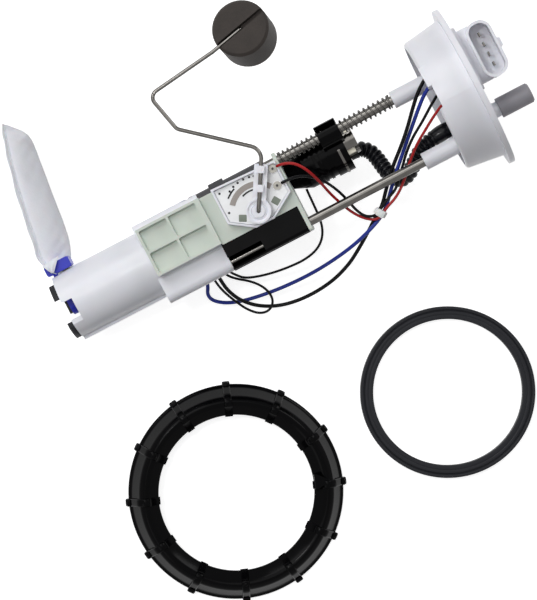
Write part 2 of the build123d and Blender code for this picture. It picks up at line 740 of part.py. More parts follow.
# Motor terminals on the outlet end
with BuildPart() as pump_terminals:
    with BuildSketch(across(PUMP_TOP - PUMP_CAP / 2)):
        with Locations((CUP_Y - TERMINAL_OFFSET, CUP_Z), (CUP_Y, CUP_Z - TERMINAL_OFFSET)):
            Rectangle(BLADE_WIDTH, BLADE_THICK)
    extrude(amount=PUMP_CAP / 2 + TERMINAL_RISE)
pump_terminals.part.label = "pump_terminals"
export_step(pump_terminals.part, "parts/pump_terminals.step")

# Two curved magnets inside the shell
with BuildPart() as magnets:
    magnet_outer = PUMP_RADIUS - PUMP_SHELL_WALL - SEAT_GAP / 2
    with BuildSketch(across(PUMP_BOTTOM + PUMP_CAP + MAGNET_MARGIN)):
        with Locations((CUP_Y, CUP_Z)):
            Circle(magnet_outer)
            Circle(magnet_outer - MAGNET_THICK, mode=Mode.SUBTRACT)
            Rectangle(2 * PUMP_RADIUS, MAGNET_GAP, mode=Mode.SUBTRACT)
    extrude(amount=PUMP_TOP - PUMP_BOTTOM - 2 * PUMP_CAP - 2 * MAGNET_MARGIN)
magnets.part.label = "magnets"
export_step(magnets.part, "parts/magnets.step")

# Armature stack with its commutator
with BuildPart() as armature:
    revolve(
        turned(
            [
                (PUMP_BOTTOM + PUMP_CAP + MAGNET_MARGIN, SHAFT_RADIUS),
                (PUMP_BOTTOM + PUMP_CAP + MAGNET_MARGIN, ARMATURE_RADIUS),
                (PUMP_TOP - PUMP_CAP - 2 * MAGNET_MARGIN, ARMATURE_RADIUS),
                (PUMP_TOP - PUMP_CAP - 2 * MAGNET_MARGIN, COMMUTATOR_RADIUS),
                (PUMP_TOP - PUMP_CAP - SEAT_GAP, COMMUTATOR_RADIUS),
                (PUMP_TOP - PUMP_CAP - SEAT_GAP, SHAFT_RADIUS),
            ],
            CUP_Y,
            CUP_Z,
        ),
        axis=spin_axis(CUP_Y, CUP_Z),
    )
armature.part.label = "armature"
export_step(armature.part, "parts/armature.step")

# Shaft through both bearings
with BuildPart() as pump_shaft:
    with BuildSketch(across(PUMP_BOTTOM + CAP_SEAT + SEAT_GAP)):
        with Locations((CUP_Y, CUP_Z)):
            Circle(SHAFT_RADIUS)
    extrude(amount=PUMP_TOP - PUMP_BOTTOM - CAP_SEAT - PUMP_CAP / 2 - 2 * SEAT_GAP)
pump_shaft.part.label = "pump_shaft"
export_step(pump_shaft.part, "parts/pump_shaft.step")

# Impeller, a vaned disc in the inlet end
with BuildPart() as impeller:
    with BuildSketch(across(PUMP_BOTTOM + PUMP_CAP - IMPELLER_THICK - SEAT_GAP)):
        with Locations((CUP_Y, CUP_Z)):
            Circle(IMPELLER_RADIUS)
            Circle(SHAFT_RADIUS, mode=Mode.SUBTRACT)
            with PolarLocations(IMPELLER_RADIUS, IMPELLER_VANES):
                Rectangle(VANE_DEPTH, VANE_GAP, mode=Mode.SUBTRACT)
    extrude(amount=IMPELLER_THICK)
impeller.part.label = "impeller"
export_step(impeller.part, "parts/impeller.step")

# Rubber isolator between the pump and the cup's floor
with BuildPart() as pump_isolator:
    with BuildSketch(across(CUP_END + CUP_FLOOR)):
        with Locations((CUP_Y, CUP_Z)):
            Circle(PUMP_RADIUS - PUMP_SHELL_WALL)
            Circle(PUMP_RADIUS - 3 * ISOLATOR_THICK, mode=Mode.SUBTRACT)
    extrude(amount=ISOLATOR_THICK)
pump_isolator.part.label = "pump_isolator"
export_step(pump_isolator.part, "parts/pump_isolator.step")

# Holder: a disc that closes the cup, the pipe to the outlet head, and a block hollow below round the lower rod
with BuildPart() as pump_holder:
    with BuildSketch(across(CUP_MOUTH)):
        with Locations((CUP_Y, CUP_Z)):
            Circle(CUP_RADIUS)
    extrude(amount=HOLDER_DISC)
    with BuildSketch(across(PUMP_TOP + SEAT_GAP)):
        with Locations((CUP_Y, CUP_Z)):
            Circle(CUP_RADIUS - CUP_WALL - SEAT_GAP)
            Circle(CUP_RADIUS - CUP_WALL - SEAT_GAP - BLOCK_WALL, mode=Mode.SUBTRACT)
    extrude(amount=CUP_MOUTH - PUMP_TOP - SEAT_GAP)
    with BuildSketch(across(CUP_MOUTH)):
        with Locations((PORT_Y, PORT_Z)):
            Circle(PIPE_RADIUS)
    extrude(amount=HEAD_START + PIPE_ENTRY - CUP_MOUTH)
    with BuildSketch(across(CUP_MOUTH)):
        with Locations(((BLOCK_SIDE + BLOCK_INNER) / 2, (BRACKET_BASE + BLOCK_BOTTOM) / 2)):
            RectangleRounded(BLOCK_INNER - BLOCK_SIDE, BRACKET_BASE - BLOCK_BOTTOM, BLOCK_WALL)
        with Locations(((BLOCK_SIDE + BLOCK_INNER) / 2, (BRACKET_BASE + BLOCK_BOTTOM) / 2 - BLOCK_WALL)):
            Rectangle(
                BLOCK_INNER - BLOCK_SIDE - 2 * BLOCK_WALL, BRACKET_BASE - BLOCK_BOTTOM, mode=Mode.SUBTRACT
            )
        with Locations((LOWER_Y, ROD_Z)):
            Circle(BLOCK_BORE + BLOCK_WALL)
        with Locations(((BLOCK_SIDE + LOWER_Y) / 2, ROD_Z)):
            Rectangle(LOWER_Y - BLOCK_SIDE, BLOCK_WALL)
    extrude(amount=BLOCK_END - CUP_MOUTH)
    with BuildSketch(across(CUP_MOUTH)):
        with Locations((LOWER_Y, ROD_Z)):
            Circle(BLOCK_BORE)
    extrude(amount=BLOCK_END - CUP_MOUTH, mode=Mode.SUBTRACT)
    # Open channel that shows the lower rod beside the carrier
    with BuildSketch(above(ROD_Z)):
        with Locations(((CUP_MOUTH + CHANNEL_END) / 2, LOWER_Y)):
            Rectangle(CHANNEL_END - CUP_MOUTH, 2 * BLOCK_BORE)
    extrude(amount=BRACKET_BASE, mode=Mode.SUBTRACT)
    with BuildSketch(across(PUMP_TOP)):
        with Locations((PORT_Y, PORT_Z)):
            Circle(PIPE_BORE)
    extrude(amount=HEAD_END - PUMP_TOP, mode=Mode.SUBTRACT)
    with BuildSketch(across(CUP_MOUTH)):
        with Locations((CUP_Y - TERMINAL_OFFSET, CUP_Z), (CUP_Y, CUP_Z - TERMINAL_OFFSET)):
            Rectangle(BLADE_WIDTH + 2 * LOOSE, BLADE_THICK + 2 * LOOSE)
        with Locations((UPPER_Y, ROD_Z)):
            Circle(SLEEVE_RADIUS + RUNNING)
    extrude(amount=HOLDER_DISC, mode=Mode.SUBTRACT)
pump_holder.part.label = "pump_holder"
export_step(pump_holder.part, "parts/pump_holder.step")

# Dark guide tube that carries the upper rod beyond the carrier, with its locating nub
with BuildPart() as rod_sleeve:
    with BuildSketch(across(CUP_MOUTH)):
        with Locations((UPPER_Y, ROD_Z)):
            Circle(SLEEVE_RADIUS)
    extrude(amount=SLEEVE_END - CUP_MOUTH)
    with BuildSketch(beside(UPPER_Y, NUB_X, ROD_Z)):
        Rectangle(2 * SLEEVE_RADIUS, SLEEVE_RADIUS)
    extrude(amount=-SLEEVE_RADIUS - NUB_RISE)
    with BuildSketch(across(CUP_MOUTH)):
        with Locations((UPPER_Y, ROD_Z)):
            Circle(ROD_RADIUS + RUNNING)
    extrude(amount=SLEEVE_END - CUP_MOUTH, mode=Mode.SUBTRACT)
rod_sleeve.part.label = "rod_sleeve"
export_step(rod_sleeve.part, "parts/rod_sleeve.step")

# Outlet head: a bell over the pipe, a flange for the regulator, the hose nipple and the hook round the spring
with BuildPart() as outlet_head:
    revolve(
        turned(
            [
                (HEAD_START, 0),
                (HEAD_START, HEAD_NECK_RADIUS),
                (HEAD_SHOULDER, HEAD_RADIUS),
                (HEAD_FLANGE, HEAD_RADIUS),
                (HEAD_FLANGE, HEAD_FLANGE_RADIUS),
                (HEAD_END, HEAD_FLANGE_RADIUS),
                (HEAD_END, 0),
            ],
            PORT_Y,
            PORT_Z,
        ),
        axis=spin_axis(PORT_Y, PORT_Z),
    )
    for ridge in range(RIDGES):
        with BuildSketch(across(RIDGE_START + ridge * RIDGE_PITCH)):
            with Locations((PORT_Y, PORT_Z)):
                Circle(HEAD_RADIUS + RIDGE_RISE)
        extrude(amount=RIDGE_PITCH / 2)
    with BuildSketch(across(LUG_START)):
        with Locations((UPPER_Y, ROD_Z)):
            Circle(LUG_BORE + LUG_WALL)
    extrude(amount=LUG_END - LUG_START)
    with BuildSketch(across(HEAD_FLANGE)):
        with Locations((HEAD_PORT_Y, HEAD_PORT_Z)):
            Circle(HOSE_RADIUS + 1)
    extrude(amount=HEAD_END - HEAD_FLANGE)
    with BuildSketch(across(HEAD_END)):
        with Locations((HEAD_PORT_Y, HEAD_PORT_Z)):
            Circle(NIPPLE_RADIUS)
    extrude(amount=HEAD_NIPPLE)
    with BuildSketch(across(HEAD_END + HEAD_NIPPLE)):
        with Locations((HEAD_PORT_Y, HEAD_PORT_Z)):
            Circle(OUTLET_BORE)
    extrude(amount=-HEAD_NIPPLE - OUTLET_BORE, mode=Mode.SUBTRACT)
    with BuildSketch(across(LUG_START)):
        with Locations((UPPER_Y, ROD_Z)):
            Circle(LUG_BORE)
    extrude(amount=LUG_END - LUG_START, mode=Mode.SUBTRACT)
    # The hook's open side
    with BuildSketch(across(LUG_START)):
        with Locations((UPPER_Y + LUG_BORE, ROD_Z + LUG_BORE)):
            Rectangle(LUG_BORE, LUG_BORE, rotation=45)
    extrude(amount=LUG_END - LUG_START, mode=Mode.SUBTRACT)
    with BuildSketch(across(HEAD_START)):
        with Locations((PORT_Y, PORT_Z)):
            Circle(PIPE_RADIUS + RUNNING)
    extrude(amount=PIPE_ENTRY + SEAT_GAP, mode=Mode.SUBTRACT)
    with BuildSketch(across(HEAD_START)):
        with Locations((PORT_Y, PORT_Z)):
            Circle(PIPE_BORE)
    extrude(amount=HEAD_END - HEAD_START, mode=Mode.SUBTRACT)
    with BuildSketch(across(HEAD_END)):
        with Locations((REGULATOR_Y, PORT_Z)):
            Circle(REGULATOR_RADIUS + RUNNING)
    extrude(amount=-REGULATOR_SOCKET, mode=Mode.SUBTRACT)
    # Oval window in the bell
    with BuildSketch(above(PORT_Z + HEAD_RADIUS, OVAL_X, PORT_Y)):
        SlotOverall(OVAL_LENGTH, OVAL_WIDTH, rotation=90)
    extrude(amount=-OVAL_DEPTH, mode=Mode.SUBTRACT)
outlet_head.part.label = "outlet_head"
export_step(outlet_head.part, "parts/outlet_head.step")

# Pressure regulator, a stepped steel can
with BuildPart() as pressure_regulator:
    revolve(
        turned(
            [
                (HEAD_END - REGULATOR_SOCKET + SEAT_GAP, 0),
                (HEAD_END - REGULATOR_SOCKET + SEAT_GAP, REGULATOR_RADIUS),
                (RING_SEAT - RING_RADIUS, REGULATOR_RADIUS),
                (RING_SEAT - RING_RADIUS, REGULATOR_RADIUS - 2 * RING_RADIUS),
                (RING_SEAT + RING_RADIUS, REGULATOR_RADIUS - 2 * RING_RADIUS),
                (RING_SEAT + RING_RADIUS, REGULATOR_RADIUS),
                (REGULATOR_TIP - 2, REGULATOR_RADIUS),
                (REGULATOR_TIP, REGULATOR_RADIUS - 2),
                (REGULATOR_TIP, 0),
            ],
            REGULATOR_Y,
            PORT_Z,
        ),
        axis=spin_axis(REGULATOR_Y, PORT_Z),
    )
pressure_regulator.part.label = "pressure_regulator"
export_step(pressure_regulator.part, "parts/pressure_regulator.step")

# Rubber ring in the regulator's groove
with BuildPart() as regulator_ring:
    with BuildSketch(beside(REGULATOR_Y, RING_SEAT, PORT_Z)):
        with Locations((0, REGULATOR_RADIUS - RING_RADIUS)):
            Circle(RING_RADIUS - RUNNING)
    revolve(axis=spin_axis(REGULATOR_Y, PORT_Z))
regulator_ring.part.label = "regulator_ring"
export_step(regulator_ring.part, "parts/regulator_ring.step")

# Stainless cage that holds the regulator in the head
with BuildPart() as regulator_cage:
    revolve(
        turned(
            [
                (HEAD_END, REGULATOR_RADIUS + LOOSE),
                (HEAD_END, REGULATOR_RADIUS + LOOSE + CAGE_WALL),
                (REGULATOR_TIP + SEAT_GAP + CAGE_WALL, REGULATOR_RADIUS + LOOSE + CAGE_WALL),
                (REGULATOR_TIP + SEAT_GAP + CAGE_WALL, REGULATOR_RADIUS / 2),
                (REGULATOR_TIP + SEAT_GAP, REGULATOR_RADIUS / 2),
                (REGULATOR_TIP + SEAT_GAP, REGULATOR_RADIUS + LOOSE),
            ],
            REGULATOR_Y,
            PORT_Z,
        ),
        axis=spin_axis(REGULATOR_Y, PORT_Z),
    )
    with BuildSketch(across(HEAD_END)):
        with Locations((REGULATOR_Y, PORT_Z)):
            with PolarLocations(REGULATOR_RADIUS, CAGE_WINDOWS, start_angle=CAGE_TURN):
                Rectangle(REGULATOR_RADIUS, REGULATOR_RADIUS)
    extrude(amount=REGULATOR_TIP - HEAD_END - CAGE_BAND, mode=Mode.SUBTRACT)
regulator_cage.part.label = "regulator_cage"
export_step(regulator_cage.part, "parts/regulator_cage.step")

# Stainless strip clipped over the head's flange
with BuildPart() as head_clip:
    with BuildSketch(across(CLIP_X)):
        with Locations((PORT_Y, PORT_Z)):
            Circle(HEAD_FLANGE_RADIUS + RUNNING + CAGE_WALL)
            Circle(HEAD_FLANGE_RADIUS + RUNNING, mode=Mode.SUBTRACT)
        with Locations((PORT_Y - HEAD_FLANGE_RADIUS, PORT_Z + HEAD_FLANGE_RADIUS / 2)):
            Rectangle(2 * HEAD_FLANGE_RADIUS, 1.5 * HEAD_FLANGE_RADIUS, mode=Mode.INTERSECT)
    extrude(amount=CLIP_WIDTH)
head_clip.part.label = "head_clip"
export_step(head_clip.part, "parts/head_clip.step")

# Guide spring on the upper rod, from the lid's boss to the bracket's end plate
with BuildPart() as guide_spring:
    spring_length = BOSS_TIP - END_PLATE_END - 2 * (SPRING_WIRE + SEAT_GAP)
    spring_start = point(END_PLATE_END + SPRING_WIRE + SEAT_GAP, UPPER_Y, ROD_Z)
    with BuildLine():
        coil = Helix(
            pitch=spring_length / SPRING_TURNS,
            height=spring_length,
            radius=SPRING_RADIUS,
            center=spring_start,
            direction=MODULE.x_dir,
        )
    with BuildSketch(Plane(coil @ 0, z_dir=coil % 0)):
        RegularPolygon(SPRING_WIRE, 6)
    sweep(is_frenet=True)
guide_spring.part.label = "guide_spring"
export_step(guide_spring.part, "parts/guide_spring.step")

# Sender bracket: a ribbed tray over the shield, a plate for the sender and an end plate round the rods
with BuildPart() as sender_bracket:
    tray_middle = ((TRAY_START + TRAY_END) / 2, (TRAY_LOW + TRAY_HIGH) / 2)
    tray_size = (TRAY_END - TRAY_START, TRAY_HIGH - TRAY_LOW)
    with BuildSketch(above(BRACKET_BASE)):
        with Locations(tray_middle):
            Rectangle(*tray_size)
    extrude(amount=TRAY_TOP - BRACKET_BASE)
    cell_length = (tray_size[0] - TRAY_BORDER - 2 * TRAY_WALL) / 2
    cell_width = (tray_size[1] - 3 * TRAY_WALL) / 2
    with BuildSketch(above(BRACKET_FACE)):
        with Locations((tray_middle[0] - (TRAY_BORDER - TRAY_WALL) / 2, tray_middle[1])):
            with GridLocations(cell_length + TRAY_WALL, cell_width + TRAY_WALL, 2, 2):
                RectangleRounded(cell_length, cell_width, TRAY_WALL / 2)
    extrude(amount=TRAY_TOP - BRACKET_FACE, mode=Mode.SUBTRACT)
    with BuildSketch(above(BRACKET_BASE)):
        with Locations(((TRAY_END + END_PLATE_END) / 2, (PLATE_LOW + PLATE_HIGH) / 2)):
            Rectangle(END_PLATE_END - TRAY_END, PLATE_HIGH - PLATE_LOW)
    extrude(amount=BRACKET_THICK)
    with BuildSketch(across(END_PLATE_START)):
        with Locations(((END_PLATE_LOW + PLATE_HIGH) / 2, (END_PLATE_BOTTOM + BRACKET_FACE) / 2)):
            RectangleRounded(PLATE_HIGH - END_PLATE_LOW, BRACKET_FACE - END_PLATE_BOTTOM, 2)
        with Locations((UPPER_Y, ROD_Z)):
            Circle(BOSS_RADIUS)
        with Locations((PORT_Y, PORT_Z)):
            Circle(PIPE_RADIUS + LOOSE, mode=Mode.SUBTRACT)
        with Locations((LOWER_Y, ROD_Z), (UPPER_Y, ROD_Z)):
            Circle(ROD_RADIUS + LOOSE, mode=Mode.SUBTRACT)
    extrude(amount=END_PLATE)
    # Feet of the tray on the shield, beside the cup's crest
    with BuildSketch(above(SHIELD_TOP)):
        with Locations((TRAY_START + TRAY_WALL, TRAY_HIGH - TRAY_WALL), (TRAY_END - TRAY_BORDER, TRAY_HIGH - TRAY_WALL)):
            Rectangle(2 * TRAY_WALL, 2 * TRAY_WALL)
    extrude(amount=BRACKET_BASE - SHIELD_TOP)
sender_bracket.part.label = "sender_bracket"
export_step(sender_bracket.part, "parts/sender_bracket.step")

# Sender housing: a shallow house-shaped tray with the float arm's bearing post
HOUSING_OUTLINE = (
    (HUB_X - HOUSING_BACK, HOUSING_TOP_LEFT),
    (END_PLATE_END - HOUSING_INSET, HOUSING_TOP_RIGHT),
    (END_PLATE_END - HOUSING_INSET, HUB_Y + HOUSING_SHOULDER),
    (HUB_X + HOUSING_FOOT_RIGHT, HUB_Y - HOUSING_FOOT),
    (HUB_X - HOUSING_FOOT_LEFT, HUB_Y - HOUSING_FOOT),
    (HUB_X - HOUSING_BACK, HUB_Y + HOUSING_SHOULDER),
)
with BuildPart() as sender_housing:
    with BuildSketch(above(BRACKET_FACE)):
        with BuildLine():
            Polyline(*HOUSING_OUTLINE, close=True)
        make_face()
    extrude(amount=HOUSING_RISE)
    with BuildSketch(above(CARD_FLOOR)):
        with BuildLine():
            Polyline(*HOUSING_OUTLINE, close=True)
        make_face()
        offset(amount=-HOUSING_WALL, kind=Kind.INTERSECTION)
    extrude(amount=HOUSING_RISE, mode=Mode.SUBTRACT)
    # Gap in the wall where the sender's wires come in
    with BuildSketch(above(CARD_TOP)):
        with Locations((END_PLATE_END, WIRE_GAP_Y)):
            Rectangle(8 * HOUSING_WALL, WIRE_GAP)
    extrude(amount=HOUSING_RISE, mode=Mode.SUBTRACT)
    with BuildSketch(above(CARD_FLOOR)):
        with Locations((HUB_X, HUB_Y)):
            Circle(POST_RADIUS)
    extrude(amount=HOUSING_TOP - CARD_FLOOR)
    with BuildSketch(above(BRACKET_FACE)):
        with Locations((HUB_X, HUB_Y)):
            Circle(FLOAT_WIRE_RADIUS + RUNNING)
    extrude(amount=HOUSING_RISE, mode=Mode.SUBTRACT)
sender_housing.part.label = "sender_housing"
export_step(sender_housing.part, "parts/sender_housing.step")

# Resistor card, bare, with its curved tracks as pieces of their own
with BuildPart() as sender_card:
    with BuildSketch(above(CARD_FLOOR)):
        with BuildLine():
            Polyline(*HOUSING_OUTLINE, close=True)
        make_face()
        offset(amount=-HOUSING_WALL - SEAT_GAP, kind=Kind.INTERSECTION)
        with Locations((HUB_X, HUB_Y)):
            Circle(POST_RADIUS + SEAT_GAP, mode=Mode.SUBTRACT)
    extrude(amount=CARD_THICK)
sender_card.part.label = "sender_card"
export_step(sender_card.part, "parts/sender_card.step")


def track(inner, outer, start, sweep_angle):
    """A flat band on the card round the hub, between two radii."""
    with BuildSketch(above(CARD_TOP, HUB_X, HUB_Y)) as band:
        with BuildLine():
            far = CenterArc((0, 0), outer, start, sweep_angle)
            near = CenterArc((0, 0), inner, start, sweep_angle)
            Line(far @ 0, near @ 0)
            Line(far @ 1, near @ 1)
        make_face()
    return band.sketch


with BuildPart() as resistor_track:
    extrude(track(RESISTOR_INNER, RESISTOR_OUTER, RESISTOR_START, RESISTOR_SWEEP), amount=TRACK_THICK)
resistor_track.part.label = "resistor_track"
export_step(resistor_track.part, "parts/resistor_track.step")

with BuildPart() as conductor_tracks:
    inner_start = CONTACT_TURN - CONTACT_SWEEP_INNER
    extrude(track(CONTACT_INNER, CONTACT_INNER + CONTACT_WIDTH, inner_start, CONTACT_SWEEP_INNER), amount=TRACK_THICK)
    extrude(track(CONTACT_OUTER, CONTACT_OUTER + CONTACT_WIDTH, CONTACT_TURN, CONTACT_SWEEP_OUTER), amount=TRACK_THICK)
conductor_tracks.part.label = "conductor_tracks"
export_step(conductor_tracks.part, "parts/conductor_tracks.step")

# Ring terminals of the sender's two wires
with BuildPart() as sender_terminals:
    with BuildSketch(above(CARD_TOP)):
        with Locations(*SENDER_TERMINALS):
            Circle(TERMINAL_RING)
            Circle(TERMINAL_RING / 2, mode=Mode.SUBTRACT)
    extrude(amount=TERMINAL_THICK)
    with BuildSketch(above(CARD_TOP)):
        with Locations(*SENDER_TERMINALS):
            Circle(TERMINAL_RING / 2)
    extrude(amount=2 * TERMINAL_THICK)
sender_terminals.part.label = "sender_terminals"
export_step(sender_terminals.part, "parts/sender_terminals.step")

# Float arm: hub and tapered arm with two clips over the wire
ARM_PLANE = spun(above(HUB_BASE, HUB_X, HUB_Y), ARM_ANGLE)
with BuildPart() as wiper_arm:
    with BuildSketch(ARM_PLANE):
        Circle(HUB_RADIUS)
        with Locations((ARM_LENGTH / 2, 0)):
            RectangleRounded(ARM_LENGTH, ARM_WIDTH, 1)
    extrude(amount=HUB_THICK)
    with BuildSketch(ARM_PLANE.offset(HUB_THICK)):
        with Locations((0, 0)):
            Circle(HUB_RADIUS)
            Circle(HUB_RADIUS - HUB_LIP, mode=Mode.SUBTRACT)
            Circle(HUB_RADIUS / 2)
    extrude(amount=HUB_LIP)
    with BuildSketch(ARM_PLANE.offset(HUB_THICK)):
        with Locations(*[(share * ARM_LENGTH, 0) for share in CLIP_SHARES]):
            Rectangle(CLIP_LENGTH, 2 * (FLOAT_WIRE_RADIUS + CLIP_WALL))
    extrude(amount=2 * FLOAT_WIRE_RADIUS + CLIP_WALL)
    # The wire's bed, straight along the arm, and its hole down the hub
    with BuildSketch(ARM_PLANE.offset(HUB_THICK)):
        with Locations((ARM_LENGTH / 2, 0)):
            Rectangle(ARM_LENGTH + 1, 2 * (FLOAT_WIRE_RADIUS + RUNNING))
        Circle(FLOAT_WIRE_RADIUS + RUNNING)
    extrude(amount=2 * FLOAT_WIRE_RADIUS + RUNNING, mode=Mode.SUBTRACT)
    with BuildSketch(ARM_PLANE):
        Circle(FLOAT_WIRE_RADIUS + RUNNING)
    extrude(amount=HUB_THICK, mode=Mode.SUBTRACT)
wiper_arm.part.label = "wiper_arm"
export_step(wiper_arm.part, "parts/wiper_arm.step")

# Wiper contact under the arm, a leaf just clear of the tracks
with BuildPart() as wiper_contact:
    with BuildSketch(ARM_PLANE.offset(-LEAF_DROP)):
        with Locations((ARM_LENGTH / 2 + LEAF_WIDTH, 0)):
            Rectangle(LEAF_LENGTH, LEAF_WIDTH)
    extrude(amount=LEAF_THICK)
    with BuildSketch(ARM_PLANE.offset(-LEAF_DROP)):
        with Locations((ARM_LENGTH / 2 + LEAF_WIDTH + LEAF_LENGTH / 2, 0)):
            Rectangle(LEAF_THICK, LEAF_WIDTH)
    extrude(amount=LEAF_DROP)
wiper_contact.part.label = "wiper_contact"
export_step(wiper_contact.part, "parts/wiper_contact.step")

# Float wire: down the hub, along the arm, round two bends and down into the float
with BuildPart() as float_wire:
    with BuildLine():
        wire_path = FilletPolyline(
            point(HUB_X, HUB_Y, BRACKET_FACE + SEAT_GAP),
            point(HUB_X, HUB_Y, WIRE_Z),
            point(*WIRE_BEND_ONE, WIRE_Z),
            point(*WIRE_BEND_TWO, WIRE_Z),
            point(*WIRE_BEND_THREE, WIRE_Z),
            point(*WIRE_BEND_FOUR, WIRE_Z),
            point(*FLOAT_PLACE, WIRE_Z),
            point(*FLOAT_PLACE, WIRE_Z - FLOAT_PIN),
            radius=[FLOAT_WIRE_RADIUS + RUNNING, 8, 5, 5, 5, FLOAT_WIRE_RADIUS + RUNNING],
        )
    with BuildSketch(Plane(wire_path @ 0, z_dir=wire_path % 0)):
        Circle(FLOAT_WIRE_RADIUS)
    sweep()
float_wire.part.label = "float_wire"
export_step(float_wire.part, "parts/float_wire.step")

# Float: a short cylinder, rolled a little about the wire that lies in its groove
FLOAT_RUN = point(*FLOAT_PLACE, 0) - point(*WIRE_BEND_FOUR, 0)
FLOAT_UP = MODULE.z_dir.rotate(Axis((0, 0, 0), FLOAT_RUN), FLOAT_ROLL)
FLOAT_PLANE = Plane(
    point(*FLOAT_PLACE, WIRE_Z) + FLOAT_UP * (FLOAT_WIRE_RADIUS + GROOVE_COVER),
    x_dir=FLOAT_RUN,
    z_dir=FLOAT_UP,
)
with BuildPart() as float_body:
    with BuildSketch(FLOAT_PLANE):
        Circle(FLOAT_RADIUS)
    extrude(amount=-FLOAT_HEIGHT)
    chamfer(float_body.edges().filter_by(GeomType.CIRCLE), length=FLOAT_BEVEL)
    with BuildSketch(FLOAT_PLANE):
        Rectangle(2 * FLOAT_RADIUS, 2 * (FLOAT_WIRE_RADIUS + SEAT_GAP))
    extrude(amount=-2 * FLOAT_WIRE_RADIUS - GROOVE_COVER - SEAT_GAP, mode=Mode.SUBTRACT)
    with BuildSketch(above(WIRE_Z, *FLOAT_PLACE)):
        Circle(FLOAT_WIRE_RADIUS + RUNNING)
    extrude(amount=-FLOAT_PIN - SEAT_GAP, mode=Mode.SUBTRACT)
float_body.part.label = "float"
export_step(float_body.part, "parts/float.step")

# Strainer: a soft fabric bag and the blue plastic frame that holds it to the pump's inlet
BAG_SECTIONS = (
    (-279.6, 24.6, -6.5, 31.0, 8.0),
    (-277.2, 38.0, -8.0, 36.0, 9.5),
    (-273.8, 62.0, -8.5, 35.0, 10.0),
    (-269.3, 90.0, -9.0, 32.0, 8.5),
    (-266.6, 112.0, -10.0, 25.0, 3.0),
)
with BuildPart() as strainer_bag:
    for bag_x, bag_y, bag_z, bag_width, bag_thick in BAG_SECTIONS:
        with BuildSketch(spun(beside(bag_y, bag_x, bag_z), BAG_TURN)):
            Ellipse(bag_width / 2, bag_thick / 2)
    loft()
strainer_bag.part.label = "strainer_bag"
export_step(strainer_bag.part, "parts/strainer_bag.step")

with BuildPart() as strainer_frame:
    frame_back = CUP_END - FRAME_STANDOFF
    with BuildSketch(across(frame_back)):
        with Locations(((CUP_Y + FRAME_END) / 2, CUP_Z)):
            SlotOverall(FRAME_END - CUP_Y + FRAME_WIDTH, FRAME_WIDTH)
    extrude(amount=-FRAME_THICK)
    with BuildSketch(across(frame_back - FRAME_THICK)):
        with Locations((CUP_Y, CUP_Z)):
            Circle(INLET_RADIUS - SEAT_GAP)
    extrude(amount=FRAME_THICK + FRAME_STANDOFF + CUP_FLOOR - SEAT_GAP)
    with BuildSketch(across(frame_back - FRAME_THICK / 2)):
        with Locations((CUP_Y, CUP_Z)):
            Circle(INLET_NIPPLE_RADIUS + RUNNING)
    extrude(amount=FRAME_THICK + FRAME_STANDOFF + CUP_FLOOR, mode=Mode.SUBTRACT)
    # Jaws that grip the bag's narrow end, beside the cup
    jaw_start = CUP_Y + CUP_RADIUS + SEAT_GAP
    with BuildSketch(above(CUP_Z - FRAME_WIDTH / 2)):
        with Locations((frame_back - FRAME_THICK - JAW_OVERHANG + JAW_LENGTH / 2, jaw_start + JAW_WIDTH / 2)):
            RectangleRounded(JAW_LENGTH, JAW_WIDTH, 1.5)
    extrude(amount=FRAME_WIDTH)
strainer_frame.part.label = "strainer_frame"
export_step(strainer_frame.part, "parts/strainer_frame.step")

# Lock ring: a coned band with a flat top, straps over it and a pointer on its inner band
with BuildPart() as lock_ring:
    with BuildSketch(standing(LOCK_X, LOCK_Y)):
        with BuildLine():
            Polyline(
                (LOCK_RADIUS - LOCK_WALL - LOCK_LIP, 0),
                (LOCK_RADIUS, 0),
                (LOCK_RADIUS, LOCK_LIP),
                (LOCK_RADIUS - LOCK_LIP, LOCK_LIP + 1),
                (LOCK_TOP_RADIUS + 2, LOCK_HEIGHT - 1),
                (LOCK_TOP_RADIUS, LOCK_HEIGHT),
                (LOCK_INNER, LOCK_HEIGHT),
                (LOCK_INNER, LOCK_HEIGHT - LOCK_BAND),
                (LOCK_TOP_RADIUS - 1, LOCK_HEIGHT - LOCK_BAND),
                close=True,
            )
        make_face()
    revolve(axis=Axis((LOCK_X, LOCK_Y, 0), (0, 0, 1)))
    for rib in range(LOCK_RIBS):
        with BuildSketch(standing(LOCK_X, LOCK_Y, LOCK_RIB_START + rib * 360 / LOCK_RIBS)):
            with BuildLine():
                Polyline(
                    (LOCK_TOP_RADIUS, LOCK_HEIGHT - 1),
                    (LOCK_TOP_RADIUS, LOCK_HEIGHT + STRAP_RISE),
                    (LOCK_TOP_RADIUS + LOCK_WALL, LOCK_HEIGHT + STRAP_RISE - STRAP_DROP),
                    (LOCK_RADIUS, LOCK_LIP + 4),
                    (LOCK_RADIUS + STRAP_REACH, LOCK_LIP + 3),
                    (LOCK_RADIUS + STRAP_REACH, 0),
                    (LOCK_RADIUS - 1, 0),
                    (LOCK_RADIUS - LOCK_LIP - 1, LOCK_LIP + 1),
                    close=True,
                )
            make_face()
        extrude(amount=STRAP_WIDTH / 2, both=True)
lock_ring.part.label = "lock_ring"
export_step(lock_ring.part, "parts/lock_ring.step")

